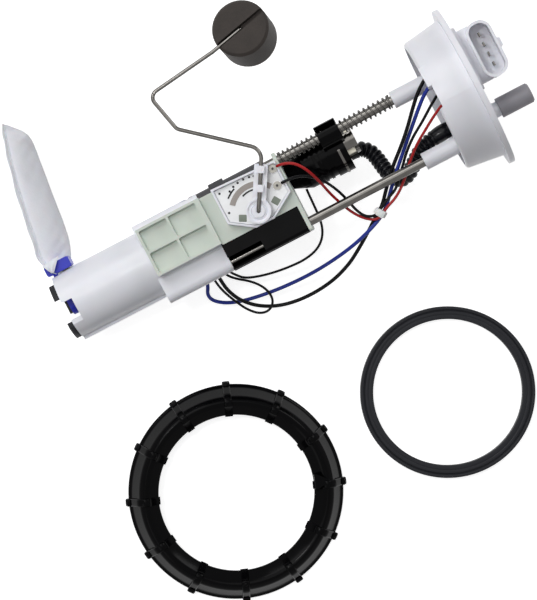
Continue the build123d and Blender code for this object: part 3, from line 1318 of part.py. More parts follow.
# Seal ring, a soft band with a groove near its outer edge
with BuildPart() as seal_ring:
    with BuildSketch(standing(SEAL_X, SEAL_Y)):
        with Locations((SEAL_RADIUS - SEAL_WIDTH / 2, SEAL_HEIGHT / 2)):
            RectangleRounded(SEAL_WIDTH, SEAL_HEIGHT, SEAL_HEIGHT / 5)
        with Locations((SEAL_RADIUS - SEAL_GROOVE, SEAL_HEIGHT)):
            Circle(SEAL_HEIGHT / 10, mode=Mode.SUBTRACT)
    revolve(axis=Axis((SEAL_X, SEAL_Y, 0), (0, 0, 1)))
seal_ring.part.label = "seal_ring"
export_step(seal_ring.part, "parts/seal_ring.step")


# Places on each route are chosen by hand, in the module's frame, and each corner's arc is as wide as its runs allow
CORRUGATED_HOSE = (
    (-85.7, -1.0, -21.0),
    (-79.0, -1.0, -21.0),
    (-73.5, -5.3, -21.0),
    (-71.4, -12.2, -19.4),
    (-70.6, -19.4, -16.0),
    (-69.0, -26.2, -12.4),
    (-64.8, -31.0, -9.2),
    (-58.2, -29.9, -6.6),
    (-52.0, -24.6, -4.4),
    (-45.0, -19.8, -2.4),
    (-37.0, -17.4, -1.0),
    (-29.0, -16.4, -0.3),
    (-20.5, -16.2, 0.0),
    (-12.5, -16.2, 0.0),
)
PUMP_WIRE_BLACK = (
    (-13.3, 21.0, 21.0),
    (-20.6, 19.6, 20.6),
    (-30.5, 13.1, 19.0),
    (-38.2, 5.4, 16.6),
    (-45.9, -3.2, 14.0),
    (-54.8, -11.8, 10.2),
    (-66.0, -21.3, 5.6),
    (-74.8, -30.6, 4.2),
    (-82.6, -39.7, 2.9),
    (-89.1, -43.6, 2.3),
    (-98.8, -50.8, -3.4),
    (-108.4, -57.2, -7.0),
    (-118.6, -63.2, -12.8),
    (-133.0, -68.0, -18.6),
    (-151.0, -69.5, -22.3),
    (-168.0, -67.2, -24.5),
    (-181.0, -61.0, -24.0),
    (-189.5, -52.5, -20.5),
    (-193.5, -43.5, -14.5),
    (-194.5, -35.5, -9.4),
    (-194.5, -28.4, -8.0),
)
PUMP_WIRE_BLUE = (
    (-13.3, 14.3, 21.0),
    (-20.5, 13.6, 20.4),
    (-28.0, 9.8, 18.8),
    (-36.2, 2.6, 15.8),
    (-44.0, -4.8, 11.6),
    (-52.6, -13.0, 7.9),
    (-64.0, -23.8, 5.4),
    (-72.4, -32.4, 3.8),
    (-81.1, -42.0, 2.9),
    (-87.9, -46.2, 2.4),
    (-98.4, -50.2, 3.0),
    (-110.6, -53.6, -4.0),
    (-125.0, -56.0, -11.6),
    (-141.0, -57.4, -18.4),
    (-157.4, -57.2, -22.3),
    (-173.0, -55.8, -24.0),
    (-188.0, -53.2, -24.2),
    (-198.5, -49.5, -22.0),
    (-205.5, -44.0, -18.0),
    (-206.6, -38.6, -13.0),
    (-202.8, -33.6, -9.2),
    (-202.0, -28.5, -8.0),
)
SENDER_WIRE_BLACK = (
    (-13.3, 7.7, 21.0),
    (-19.0, 6.9, 20.4),
    (-27.4, 1.8, 18.2),
    (-36.4, -4.6, 14.8),
    (-45.2, -9.8, 12.0),
    (-53.2, -16.2, 9.4),
    (-61.6, -25.2, 5.4),
    (-70.0, -34.4, 5.0),
    (-76.2, -36.6, 6.3),
    (-82.7, -39.9, 5.6),
    (-88.6, -43.4, 5.0),
    (-94.8, -40.9, 5.7),
    (-98.0, -34.9, 5.3),
    (-99.6, -28.5, 5.0),
    (-101.2, -22.2, 6.6),
    (-103.6, -16.0, 10.4),
    (-107.0, -9.6, 14.8),
    (-111.8, -4.2, 19.6),
    (-117.8, 0.2, 23.6),
    (-124.6, 1.8, 25.8),
    (-131.1, 1.9, 24.8),
)
SENDER_WIRE_RED = (
    (-13.3, 1.0, 21.0),
    (-19.6, -0.2, 20.0),
    (-29.0, -5.0, 16.6),
    (-37.8, -10.4, 13.0),
    (-45.8, -15.4, 9.8),
    (-54.2, -22.6, 6.4),
    (-63.6, -32.4, 4.9),
    (-72.2, -38.9, 5.2),
    (-81.3, -42.0, 5.6),
    (-88.1, -46.2, 5.0),
    (-94.4, -43.0, 3.8),
    (-99.6, -37.0, 3.8),
    (-103.2, -30.0, 4.4),
    (-105.9, -23.0, 6.2),
    (-108.0, -16.5, 11.0),
    (-109.4, -10.2, 17.5),
    (-111.2, -3.8, 24.4),
    (-113.8, 2.8, 28.4),
    (-118.0, 8.6, 29.4),
    (-123.4, 11.8, 28.4),
    (-128.9, 12.4, 24.9),
)
GROUND_WIRE = (
    (-119.8, -8.4, -7.0),
    (-120.2, -16.0, -7.3),
    (-120.6, -25.0, -8.0),
    (-121.6, -33.4, -9.5),
    (-125.4, -40.8, -11.6),
    (-132.0, -45.6, -14.0),
    (-141.5, -47.6, -16.5),
    (-152.0, -47.2, -18.5),
    (-163.0, -45.8, -19.5),
    (-173.0, -43.4, -18.5),
    (-181.0, -40.2, -15.5),
    (-184.6, -35.8, -12.0),
    (-187.2, -32.0, -9.0),
    (-187.5, -28.3, -8.0),
)
LOOP_WIRE = (
    (-190.8, -28.3, -8.0),
    (-190.2, -32.8, -8.6),
    (-185.4, -38.2, -10.6),
    (-178.8, -43.2, -13.8),
    (-173.6, -49.4, -17.4),
    (-171.0, -56.4, -20.2),
    (-172.0, -62.6, -21.4),
    (-177.0, -66.2, -21.2),
    (-183.2, -64.8, -21.0),
    (-188.8, -59.0, -20.2),
    (-193.2, -50.2, -17.2),
    (-196.5, -41.4, -12.8),
    (-197.8, -34.2, -9.4),
    (-198.0, -28.3, -8.0),
)


def route(places):
    """A path along the places whose corners are arcs as wide as their two runs allow."""
    stops = [point(*place) for place in places]
    radii = []
    for before, here, after in zip(stops, stops[1:], stops[2:]):
        turn = radians((here - before).get_angle(after - here))
        radii.append(ARC_SHARE * min((here - before).length, (after - here).length) / tan(turn / 2))
    with BuildLine():
        path = FilletPolyline(*stops, radius=radii)
    print("narrowest arc", round(min(radii), 1), "of", len(radii), "length", round(path.length, 1))
    return path


CORDS = (
    ("pump_wire_black", PUMP_WIRE_BLACK, PUMP_WIRE_RADIUS),
    ("pump_wire_blue", PUMP_WIRE_BLUE, PUMP_WIRE_RADIUS),
    ("sender_wire_black", SENDER_WIRE_BLACK, SENDER_WIRE_RADIUS),
    ("sender_wire_red", SENDER_WIRE_RED, SENDER_WIRE_RADIUS),
    ("ground_wire", GROUND_WIRE, JUMPER_RADIUS),
    ("loop_wire", LOOP_WIRE, JUMPER_RADIUS),
)
for cord_name, places, cord_radius in CORDS:
    with BuildPart() as cord:
        cord_path = route(places)
        with BuildSketch(Plane(cord_path @ 0, z_dir=cord_path % 0)):
            Circle(cord_radius)
        sweep(path=cord_path)
    print(cord_name, "volume share", round(cord.part.volume / (pi * cord_radius**2 * cord_path.length), 4))
    cord.part.label = cord_name
    export_step(cord.part, f"parts/{cord_name}.step")

# Hose from the outlet head to the lid
with BuildPart() as corrugated_hose:
    hose_path = route(CORRUGATED_HOSE)
    with BuildSketch(Plane(hose_path @ 0, z_dir=hose_path % 0)):
        Circle(HOSE_RADIUS)
        Circle(HOSE_BORE, mode=Mode.SUBTRACT)
    sweep(path=hose_path)
hose_section = pi * (HOSE_RADIUS**2 - HOSE_BORE**2)
print("corrugated_hose volume share", round(corrugated_hose.part.volume / (hose_section * hose_path.length), 4))
corrugated_hose.part.label = "corrugated_hose"
export_step(corrugated_hose.part, "parts/corrugated_hose.step")

# Cable tie round the four wires
with BuildPart() as cable_tie:
    tie_plane = Plane(
        point(*TIE_PLACE),
        x_dir=point(*TIE_SIDE),
        z_dir=point(*TIE_RUN),
    )
    with BuildSketch(tie_plane.offset(-TIE_WIDTH / 2)):
        with Locations((0, TIE_DROP)):
            RectangleRounded(TIE_HOLE + 2 * TIE_BAND, TIE_HOLE + 2 * TIE_BAND - LOOSE, TIE_BAND + 1)
            RectangleRounded(TIE_HOLE, TIE_HOLE - LOOSE, TIE_BAND, mode=Mode.SUBTRACT)
        with Locations((0, TIE_DROP + TIE_BAND + (TIE_HOLE - LOOSE + TIE_HEAD_RISE) / 2)):
            Rectangle(TIE_HEAD, TIE_HEAD_RISE)
    extrude(amount=TIE_WIDTH)
cable_tie.part.label = "cable_tie"
export_step(cable_tie.part, "parts/cable_tie.step")
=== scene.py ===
# %% [markdown]
# A fuel pump module hangs in a car's tank from its lid. Here it has been taken out and lies on
# a table: lid and connector on the right, the white pump carrier on the left, and the float on
# its bent wire above. Two loose rings that clamp and seal the lid lie beside it.
#
# The solid model comes first, as a fixed frame in metres. Everything made below is placed in
# that frame, so nothing has to be fitted by eye.

import bmesh
import bpy
import mathutils
import numpy as np
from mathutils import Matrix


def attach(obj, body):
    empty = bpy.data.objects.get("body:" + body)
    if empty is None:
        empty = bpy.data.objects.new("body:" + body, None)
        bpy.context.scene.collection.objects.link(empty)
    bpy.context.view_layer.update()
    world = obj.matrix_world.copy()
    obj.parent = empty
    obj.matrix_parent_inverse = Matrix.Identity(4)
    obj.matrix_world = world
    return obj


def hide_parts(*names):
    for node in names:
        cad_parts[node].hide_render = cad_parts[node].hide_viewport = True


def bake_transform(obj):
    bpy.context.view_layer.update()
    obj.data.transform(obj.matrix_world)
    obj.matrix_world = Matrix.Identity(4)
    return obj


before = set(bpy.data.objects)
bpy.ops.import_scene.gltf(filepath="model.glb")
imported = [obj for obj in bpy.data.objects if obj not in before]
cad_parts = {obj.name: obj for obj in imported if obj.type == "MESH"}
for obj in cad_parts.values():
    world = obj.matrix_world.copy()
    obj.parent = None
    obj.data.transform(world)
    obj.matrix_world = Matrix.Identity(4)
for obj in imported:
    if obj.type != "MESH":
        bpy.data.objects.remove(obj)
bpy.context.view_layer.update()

# %% [markdown]
# The module's own axis runs through the lid's middle. Because the lid is wider than the carrier,
# that axis leans 5.6 degrees up from the table, with the lid end high. Sizes that are read off
# the module are easiest in its own leaning frame, in millimetres, so one function turns such
# places into the table's frame in metres.

# %% From the module's millimetres to the table's metres
RIM_RADIUS, CUP_RADIUS, RIM_TO_FEET = 53.0, 24.4, 290.5
LEAN = np.arctan((RIM_RADIUS - CUP_RADIUS) / RIM_TO_FEET)
LEAN_TURN = np.array(
    [[np.cos(LEAN), 0.0, -np.sin(LEAN)], [0.0, 1.0, 0.0], [np.sin(LEAN), 0.0, np.cos(LEAN)]]
)
ALONG = LEAN_TURN[:, 0]
UP = np.array((0, 0, 1.0))


def place(points):
    """Module millimetres to table metres: turn by the lean about Y, then divide by 1000."""
    return np.asarray(points, float) @ LEAN_TURN.T / 1000


FLOOR = -RIM_RADIUS / 1000 * np.cos(LEAN)
print("lean", round(float(np.degrees(LEAN)), 2), "degrees, table at", round(float(FLOOR), 5), "m")

# %% [markdown]
# The photograph looks almost straight down from about a metre and a half, with the module
# turned across the picture. The camera is made first. Its directions to the picture's right
# and up are given, and the third, towards the viewer, is their cross product.

# %% Camera
RIGHT = (0.885342, -0.462392, 0.048606)
UPWARD = (0.463280, 0.886173, -0.008266)
CAMERA_AT = (-0.231647, -0.013804, 1.5)
FOCAL_PIXELS, PICTURE_HEIGHT, SENSOR_HEIGHT = 2422.3, 600, 24.0


def in_scene(name, data):
    """A new object of the scene that shows that data."""
    thing = bpy.data.objects.new(name, data)
    bpy.context.scene.collection.objects.link(thing)
    return thing


lens = bpy.data.cameras.new("bench camera")
camera = in_scene("bench camera", lens)
right, upward = mathutils.Vector(RIGHT).normalized(), mathutils.Vector(UPWARD).normalized()
facing = mathutils.Matrix((right, upward, right.cross(upward))).transposed().to_4x4()
camera.matrix_world = mathutils.Matrix.Translation(CAMERA_AT) @ facing
lens.sensor_fit = "VERTICAL"
lens.sensor_height = SENSOR_HEIGHT
lens.lens = SENSOR_HEIGHT * FOCAL_PIXELS / PICTURE_HEIGHT
lens.clip_end = 20.0
bpy.context.scene.camera = camera
print("camera", round(lens.lens, 1), "mm lens")

# %% [markdown]
# New pieces are surfaces over two parameters, worked out as whole arrays: rows run along the
# piece, and columns run round it. One helper turns such a grid into a mesh with smooth faces
# and a UV map whose two directions are metres along and round, so that a pattern on it has a
# real size.

# %% From a grid of points to a mesh
MOST_OF_SIDE = 0.45


def running(line):
    """How far along the line each of its points lies."""
    return np.concatenate([[0], np.cumsum(np.linalg.norm(np.diff(line, axis=0), axis=1))])


def surface(name, grid, closed_round=True, closed_along=False, caps=False, flip=False, bare=False):
    """A mesh from a grid of points, rows by columns by xyz. Quads join each point to the next in
    its row and column; a closed direction joins the last to the first, and caps fill both ends."""
    rows, columns = grid.shape[:2]
    last_row = rows if closed_along else rows - 1
    last_column = columns if closed_round else columns - 1
    r, c = np.meshgrid(np.arange(last_row), np.arange(last_column), indexing="ij")
    r2, c2 = (r + 1) % rows, (c + 1) % columns
    quads = np.stack([r * columns + c, r * columns + c2, r2 * columns + c2, r2 * columns + c], -1)
    quads = quads.reshape(-1, 4)
    if flip:
        quads = quads[:, ::-1]
    faces = quads.tolist()
    if caps:
        first, last = list(range(columns)), list(range((rows - 1) * columns, rows * columns))
        faces += [first[::-1] if not flip else first, last if not flip else last[::-1]]
    mesh = bpy.data.meshes.new(name)
    mesh.from_pydata(grid.reshape(-1, 3), [], faces)
    mesh.shade_smooth()
    uv = np.stack(np.meshgrid(running(grid[rows // 2]), running(grid.mean(1))), -1).reshape(-1, 2)
    corners = np.zeros(len(mesh.loops), np.int32)
    mesh.loops.foreach_get("vertex_index", corners)
    mesh.uv_layers.new(name="metres").data.foreach_set("uv", uv[corners].astype(np.float32).ravel())
    return mesh if bare else in_scene(name, mesh)


def unit(vectors):
    """The same directions with length 1."""
    return vectors / np.linalg.norm(vectors, axis=-1, keepdims=True)


def superellipse(steps, cos_power, sin_power=None):
    """Points round a soft rectangle: sign(c) * abs(c)**power for the cosine and for the sine of
    the turn. Power 1 is a circle, and lower powers are squarer."""
    turn = np.linspace(0, 2 * np.pi, steps, endpoint=False)
    waves = ((np.cos(turn), cos_power), (np.sin(turn), sin_power or cos_power))
    return np.stack([np.sign(wave) * np.abs(wave) ** power for wave, power in waves], -1)


def rounded(profile, radius, steps=5):
    """A profile whose inner corners are turned into short curves: a quadratic curve from a radius
    before each corner to a radius after it, or from just short of half a side if that is less."""
    profile = np.asarray(profile, float)
    before, here, after = profile[:-2], profile[1:-1], profile[2:]
    into, out = before - here, after - here
    reach_in = np.minimum(radius / np.linalg.norm(into, axis=1), MOST_OF_SIDE)[:, None, None]
    reach_out = np.minimum(radius / np.linalg.norm(out, axis=1), MOST_OF_SIDE)[:, None, None]
    t = np.linspace(0, 1, steps)[None, :, None]
    start, end = here[:, None] + into[:, None] * reach_in, here[:, None] + out[:, None] * reach_out
    curve = (1 - t) ** 2 * start + 2 * t * (1 - t) * here[:, None] + t**2 * end
    return np.concatenate([profile[:1], curve.reshape(-1, 2), profile[-1:]])


print("mesh helpers ready")

# %% [markdown]
# Colours are written as sRGB hex, as a colour picker gives them, and shaders want linear light,
# so one function converts them. Another adds a shader node with its settings and its links in
# one call, which keeps every material below short.

# %% Colour and node helpers


def srgb(code):
    """An sRGB hex colour as linear red, green, blue and alpha."""
    value = np.array([int(code[i : i + 2], 16) for i in (1, 3, 5)]) / 255
    linear = np.where(value <= 0.04045, value / 12.92, ((value + 0.055) / 1.055) ** 2.4)
    return (*linear.tolist(), 1.0)


def add(tree, kind, links=(), **settings):
    """A node of that kind. Each setting is one of its properties or, with an underscore in place
    of a space, one of its inputs; each link is (input, socket that feeds it)."""
    node = tree.nodes.new(kind)
    for key, value in settings.items():
        if hasattr(node, key):
            setattr(node, key, value)
        else:
            node.inputs[key.replace("_", " ")].default_value = value
    for target, socket in links:
        tree.links.new(socket, node.inputs[target])
    return node


def blank(name, **shader):
    """A new material with one Principled shader; returns the material, its tree and the shader."""
    material = bpy.data.materials.new(name)
    material.use_nodes = True
    material.node_tree.nodes.clear()
    tree = material.node_tree
    principled = add(tree, "ShaderNodeBsdfPrincipled", **shader)
    add(tree, "ShaderNodeOutputMaterial", [("Surface", principled.outputs[0])])
    return material, tree, principled


PER_MM = 1000.0  # a noise of scale 1000 on coordinates in metres has features of about 1 mm
print("colour helpers ready")

# %% [markdown]
# Moulded plastic is never one colour: its sheen varies where the steel mould was polished by
# hand, and dust and handling leave faint clouds. Each plastic here is a pair of close colours
# mixed by broad clouds, with a roughness that wanders, and a very fine bump from the mould's
# skin. Grain and cloud sizes are real sizes in millimetres.

# %% Moulded plastics and rubbers


def moulded(name, light, dark, roughness, cloud_mm=18.0, grain_mm=0.5, bump=0.12, spread=0.08, **shader):
    """A moulded surface: two close colours mixed by clouds, a wandering roughness, a fine skin."""
    material, tree, principled = blank(name, **shader)
    on_piece = add(tree, "ShaderNodeTexCoord").outputs["Object"]
    cloud = add(tree, "ShaderNodeTexNoise", [("Vector", on_piece)], Scale=PER_MM / cloud_mm, Detail=4.0)
    grain = add(tree, "ShaderNodeTexNoise", [("Vector", on_piece)], Scale=PER_MM / grain_mm, Detail=3.0)
    pair = dict(data_type="RGBA", A=srgb(dark), B=srgb(light))
    colour = add(tree, "ShaderNodeMix", [("Factor", cloud.outputs["Fac"])], **pair)
    ends = dict(To_Min=roughness + spread, To_Max=roughness - spread)
    sheen = add(tree, "ShaderNodeMapRange", [("Value", cloud.outputs["Fac"])], **ends)
    skin = add(tree, "ShaderNodeBump", [("Height", grain.outputs["Fac"])], Strength=bump, Distance=0.0001)
    tree.links.new(colour.outputs["Result"], principled.inputs["Base Color"])
    tree.links.new(sheen.outputs[0], principled.inputs["Roughness"])
    tree.links.new(skin.outputs[0], principled.inputs["Normal"])
    return material


NYLON = dict(IOR=1.53, Subsurface_Weight=0.1)
INSULATION = dict(cloud_mm=4.0, grain_mm=0.25, bump=0.1, spread=0.05)
PRINTED = dict(cloud_mm=3.0, grain_mm=0.2, bump=0.2, Specular_IOR_Level=0.3)

white_acetal = moulded(
    "white acetal, moulded", "#f0f0f6", "#e4e5ec", 0.34,
    IOR=1.48, Subsurface_Weight=0.06, Subsurface_Scale=0.004,
)
natural_nylon = moulded(
    "natural glass-filled nylon, moulded", "#d2dad1", "#c2cbc1", 0.46,
    grain_mm=0.8, bump=0.2, Subsurface_Scale=0.003, **NYLON,
)
black_nylon = moulded(
    "black nylon, gloss moulded", "#060607", "#030304", 0.15,
    cloud_mm=9.0, bump=0.05, IOR=1.53, Specular_IOR_Level=0.04,
)
grey_sleeve = moulded(
    "dark grey polypropylene, moulded", "#47474a", "#3a3a3d", 0.5, IOR=1.49, Specular_IOR_Level=0.3
)
tan_pom = moulded("tan acetal, machined", "#b39468", "#a08256", 0.38, IOR=1.48)
grey_cap = moulded(
    "grey polyethylene cap, moulded", "#918f95", "#828086", 0.5,
    grain_mm=0.7, bump=0.2, IOR=1.5, Subsurface_Weight=0.05, Subsurface_Scale=0.003,
)
blue_frame = moulded(
    "blue acetal, moulded", "#3138bb", "#292fa6", 0.36, IOR=1.48, Specular_IOR_Level=0.3
)
tie_nylon = moulded(
    "natural nylon cable tie, moulded", "#eef0ee", "#e2e5e2", 0.4,
    cloud_mm=6.0, Subsurface_Scale=0.002, **NYLON,
)
nitrile_rubber = moulded(
    "nitrile rubber, moulded", "#1e1f24", "#15161a", 0.5,
    grain_mm=0.6, bump=0.25, IOR=1.5, Specular_IOR_Level=0.2,
)
resistor_film = moulded("carbon resistor film, printed", "#a9a29d", "#99928d", 0.55, **PRINTED)
conductor_film = moulded("conductor film, printed", "#1c1c1f", "#131315", 0.45, **PRINTED)
glass_print = moulded("grey-green overglaze, printed", "#858d81", "#777f74", 0.5, **PRINTED)
fired_ceramic = moulded("alumina card, fired", "#f3f4f5", "#e9eaeb", 0.42, cloud_mm=8.0, IOR=1.7)
black_pvc = moulded(
    "black cross-linked wire insulation", "#0c0d0f", "#070709", 0.32, Specular_IOR_Level=0.1, **INSULATION
)
blue_pvc = moulded(
    "blue cross-linked wire insulation", "#2438a0", "#1c2d8a", 0.36, Specular_IOR_Level=0.25, **INSULATION
)
red_pvc = moulded(
    "red cross-linked wire insulation", "#b81a1c", "#981315", 0.38, Specular_IOR_Level=0.25, **INSULATION
)
hose_plastic = moulded(
    "black nylon hose, blown", "#13151b", "#0b0c10", 0.16,
    cloud_mm=5.0, grain_mm=0.4, bump=0.05, IOR=1.53, Specular_IOR_Level=0.14,
)
ferrite = moulded("ferrite magnet, sintered", "#3b3b40", "#323237", 0.55, grain_mm=0.3, bump=0.3)
print("moulded finishes ready")

# %% [markdown]
# The float is closed-cell nitrile foam, cut from a block and skinned: very dark brown on top,
# dusty on its side, with a pebbly surface of cells about 0.7 mm across and a few larger pores.
# Voronoi cells give the pebbles, and clouds dry out the colour.

# %% Float foam
float_foam, tree, principled = blank(
    "closed-cell nitrile foam, skinned", IOR=1.48, Roughness=0.65, Specular_IOR_Level=0.25
)
on_piece = add(tree, "ShaderNodeTexCoord").outputs["Object"]
dust = add(
    tree, "ShaderNodeTexNoise", [("Vector", on_piece)], Scale=PER_MM / 9, Detail=6.0, Roughness=0.65
)
cells = add(tree, "ShaderNodeTexVoronoi", [("Vector", on_piece)], Scale=PER_MM / 0.7)
pores = add(tree, "ShaderNodeTexVoronoi", [("Vector", on_piece)], Scale=PER_MM / 2.6)
pits = add(tree, "ShaderNodeMapRange", [("Value", pores.outputs["Distance"])], From_Max=0.22)
pair = dict(data_type="RGBA", A=srgb("#231f1d"), B=srgb("#3d3733"))
tone = add(tree, "ShaderNodeMix", [("Factor", dust.outputs["Fac"])], **pair)
height = add(tree, "ShaderNodeMath", [(0, cells.outputs["Distance"]), (1, pits.outputs[0])], operation="ADD")
skin = add(tree, "ShaderNodeBump", [("Height", height.outputs[0])], Strength=0.35, Distance=0.0002)
tree.links.new(tone.outputs["Result"], principled.inputs["Base Color"])
tree.links.new(skin.outputs[0], principled.inputs["Normal"])
print("foam ready")

# %% [markdown]
# Stainless rods, wire and clips are drawn or rolled: fine scratches run along the metal, so
# their roughness and bump are stretched noise, long in one direction. The same recipe with
# other colours gives the plated cans and terminals. The streaks run along the table's X, which
# is within a few degrees of the module's axis.

# %% Drawn and plated metals


def drawn(name, light, dark, roughness, streak_mm=0.12, length_mm=14.0, bump=0.08):
    """Metal drawn along X: noise squeezed across and stretched along gives its streaks."""
    material, tree, principled = blank(name, Metallic=1.0)
    on_piece = add(tree, "ShaderNodeTexCoord").outputs["Object"]
    squeezed = (PER_MM / length_mm, PER_MM / streak_mm, PER_MM / streak_mm)
    stretch = add(tree, "ShaderNodeMapping", [("Vector", on_piece)], Scale=squeezed)
    streaks = add(tree, "ShaderNodeTexNoise", [("Vector", stretch.outputs[0])], Scale=1.0, Detail=3.0)
    clouds = add(tree, "ShaderNodeTexNoise", [("Vector", on_piece)], Scale=PER_MM / 7, Detail=3.0)
    pair = dict(data_type="RGBA", A=srgb(dark), B=srgb(light))
    colour = add(tree, "ShaderNodeMix", [("Factor", clouds.outputs["Fac"])], **pair)
    ends = dict(To_Min=roughness - 0.04, To_Max=roughness + 0.06)
    gloss = add(tree, "ShaderNodeMapRange", [("Value", streaks.outputs["Fac"])], **ends)
    skin = add(tree, "ShaderNodeBump", [("Height", streaks.outputs["Fac"])], Strength=bump, Distance=0.0001)
    tree.links.new(colour.outputs["Result"], principled.inputs["Base Color"])
    tree.links.new(gloss.outputs[0], principled.inputs["Roughness"])
    tree.links.new(skin.outputs[0], principled.inputs["Normal"])
    return material


# Painted shade: this steel is coloured far darker than real stainless steel, to stand in for the dark
# surroundings that the rods would reflect.
stainless_painted_dark = drawn(
    "stainless steel, centreless ground", "#6a6865", "#4d4b48", 0.12,
    streak_mm=0.4, length_mm=25.0, bump=0.02,
)
# Painted shade: the spring wire is darkened in the same way, far below real steel.
spring_wire_painted_dark = drawn("music wire, drawn", "#6a6865", "#474542", 0.2, length_mm=3.0)
zinc_plate = drawn("zinc-plated steel, pressed", "#dcd8c9", "#bdb9a9", 0.3, streak_mm=0.4, length_mm=1.5)
shell_steel = drawn("tin-plated steel tube", "#b9bbbc", "#9b9d9e", 0.32)
tinned_brass = drawn("tinned brass, blanked", "#d8cfa8", "#b5a878", 0.3, length_mm=2.0)
tinned_steel = drawn("tin-plated steel, blanked", "#8d8b85", "#6a6863", 0.32, streak_mm=0.3, length_mm=2.0)
armature_steel = drawn(
    "varnished laminations and copper", "#8f5a38", "#5b3d2c", 0.4, streak_mm=0.5, length_mm=0.5, bump=0.4
)
print("metal finishes ready")

# %% [markdown]
# The strainer is a pouch of spun-bonded felt, a web of fine white fibres that light scatters
# in. Fibres are a few hundredths of a millimetre, too fine to show here, so they are drawn as
# a tangle about 0.8 mm across, over a softer quilting of 3 mm.

# %% Felt
felt, tree, principled = blank(
    "spun-bonded polyester felt", IOR=1.5, Roughness=0.85, Sheen_Weight=0.35, Sheen_Roughness=0.5,
    Subsurface_Weight=0.12, Subsurface_Scale=0.003,
)
on_piece = add(tree, "ShaderNodeTexCoord").outputs["Object"]
web = add(
    tree, "ShaderNodeTexNoise", [("Vector", on_piece)], Scale=PER_MM / 0.8, Detail=6.0, Distortion=1.4
)
quilt = add(tree, "ShaderNodeTexNoise", [("Vector", on_piece)], Scale=PER_MM / 3.2, Detail=3.0)
pair = dict(data_type="RGBA", A=srgb("#e4e5ec"), B=srgb("#f3f4fa"))
tone = add(tree, "ShaderNodeMix", [("Factor", web.outputs["Fac"])], **pair)
height = add(tree, "ShaderNodeMath", [(0, web.outputs["Fac"]), (1, quilt.outputs["Fac"])], operation="ADD")
skin = add(tree, "ShaderNodeBump", [("Height", height.outputs[0])], Strength=0.35, Distance=0.0003)
tree.links.new(tone.outputs["Result"], principled.inputs["Base Color"])
tree.links.new(skin.outputs[0], principled.inputs["Normal"])
print("felt ready")

# %% [markdown]
# The solids whose shape is already right keep it, and only get their finish. They are listed
# by finish, so that it is easy to see what is made of what.

# %% Finishes for the solids that stay
FINISHES = {
    white_acetal: "flange_lid carrier sender_housing wiper_arm",
    natural_nylon: "sender_bracket",
    black_nylon: "inner_plug pump_holder outlet_head pump_outlet_cap lock_ring",
    grey_sleeve: "rod_sleeve",
    tan_pom: "pump_inlet_cap impeller",
    grey_cap: "outlet_cap",
    blue_frame: "strainer_frame",
    tie_nylon: "cable_tie",
    nitrile_rubber: "rubber_feet wire_grommet pump_isolator regulator_ring seal_ring",
    resistor_film: "resistor_track",
    fired_ceramic: "sender_card",
    black_pvc: "pump_wire_black sender_wire_black ground_wire loop_wire",
    blue_pvc: "pump_wire_blue",
    red_pvc: "sender_wire_red",
    hose_plastic: "corrugated_hose",
    ferrite: "magnets",
    float_foam: "float",
    stainless_painted_dark: "guide_rod_upper guide_rod_lower float_wire regulator_cage head_clip pump_shaft",
    spring_wire_painted_dark: "guide_spring",
    zinc_plate: "pressure_regulator",
    shell_steel: "pump_shell",
    tinned_brass: "pump_terminals wiper_contact",
    tinned_steel: "connector_terminals sender_terminals",
    conductor_film: "conductor_tracks",
    armature_steel: "armature",
    felt: "strainer_bag",
}
for finish, names in FINISHES.items():
    for name in names.split():
        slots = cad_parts[name].data.materials
        slots.clear()
        slots.append(finish)
left = set(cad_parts) - set(" ".join(FINISHES.values()).split())
print("solids given a finish:", len(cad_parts) - len(left), "left:", sorted(left))

# %% [markdown]
# The hose and the wires are real lengths of something flexible. The points are the solid
# model's, placed in the module's frame. A NURBS curve of order 3 takes them as its control
# points, so it rounds each corner between them, and a wire is a smooth tube round that curve.

# %% Routes of the hose and the wires
PUMP_WIRE_BLACK = [
    (-13.3, 21.0, 21.0), (-20.6, 19.6, 20.6), (-30.5, 13.1, 19.0), (-38.2, 5.4, 16.6),
    (-45.9, -3.2, 14.0), (-54.8, -11.8, 10.2), (-66.0, -21.3, 5.6), (-74.8, -30.6, 4.2),
    (-82.6, -39.7, 2.9), (-89.1, -43.6, 2.3), (-98.8, -50.8, -3.4), (-108.4, -57.2, -7.0),
    (-118.6, -63.2, -12.8), (-133.0, -68.0, -18.6), (-151.0, -69.5, -22.3), (-168.0, -67.2, -24.5),
    (-181.0, -61.0, -24.0), (-189.5, -52.5, -20.5), (-193.5, -43.5, -14.5), (-194.5, -35.5, -9.4),
    (-194.5, -28.4, -8.0),
]
PUMP_WIRE_BLUE = [
    (-13.3, 14.3, 21.0), (-20.5, 13.6, 20.4), (-28.0, 9.8, 18.8), (-36.2, 2.6, 15.8),
    (-44.0, -4.8, 11.6), (-52.6, -13.0, 7.9), (-64.0, -23.8, 5.4), (-72.4, -32.4, 3.8),
    (-81.1, -42.0, 2.9), (-87.9, -46.2, 2.4), (-98.4, -50.2, 3.0), (-110.6, -53.6, -4.0),
    (-125.0, -56.0, -11.6), (-141.0, -57.4, -18.4), (-157.4, -57.2, -22.3), (-173.0, -55.8, -24.0),
    (-188.0, -53.2, -24.2), (-198.5, -49.5, -22.0), (-205.5, -44.0, -18.0), (-206.6, -38.6, -13.0),
    (-202.8, -33.6, -9.2), (-202.0, -28.5, -8.0),
]
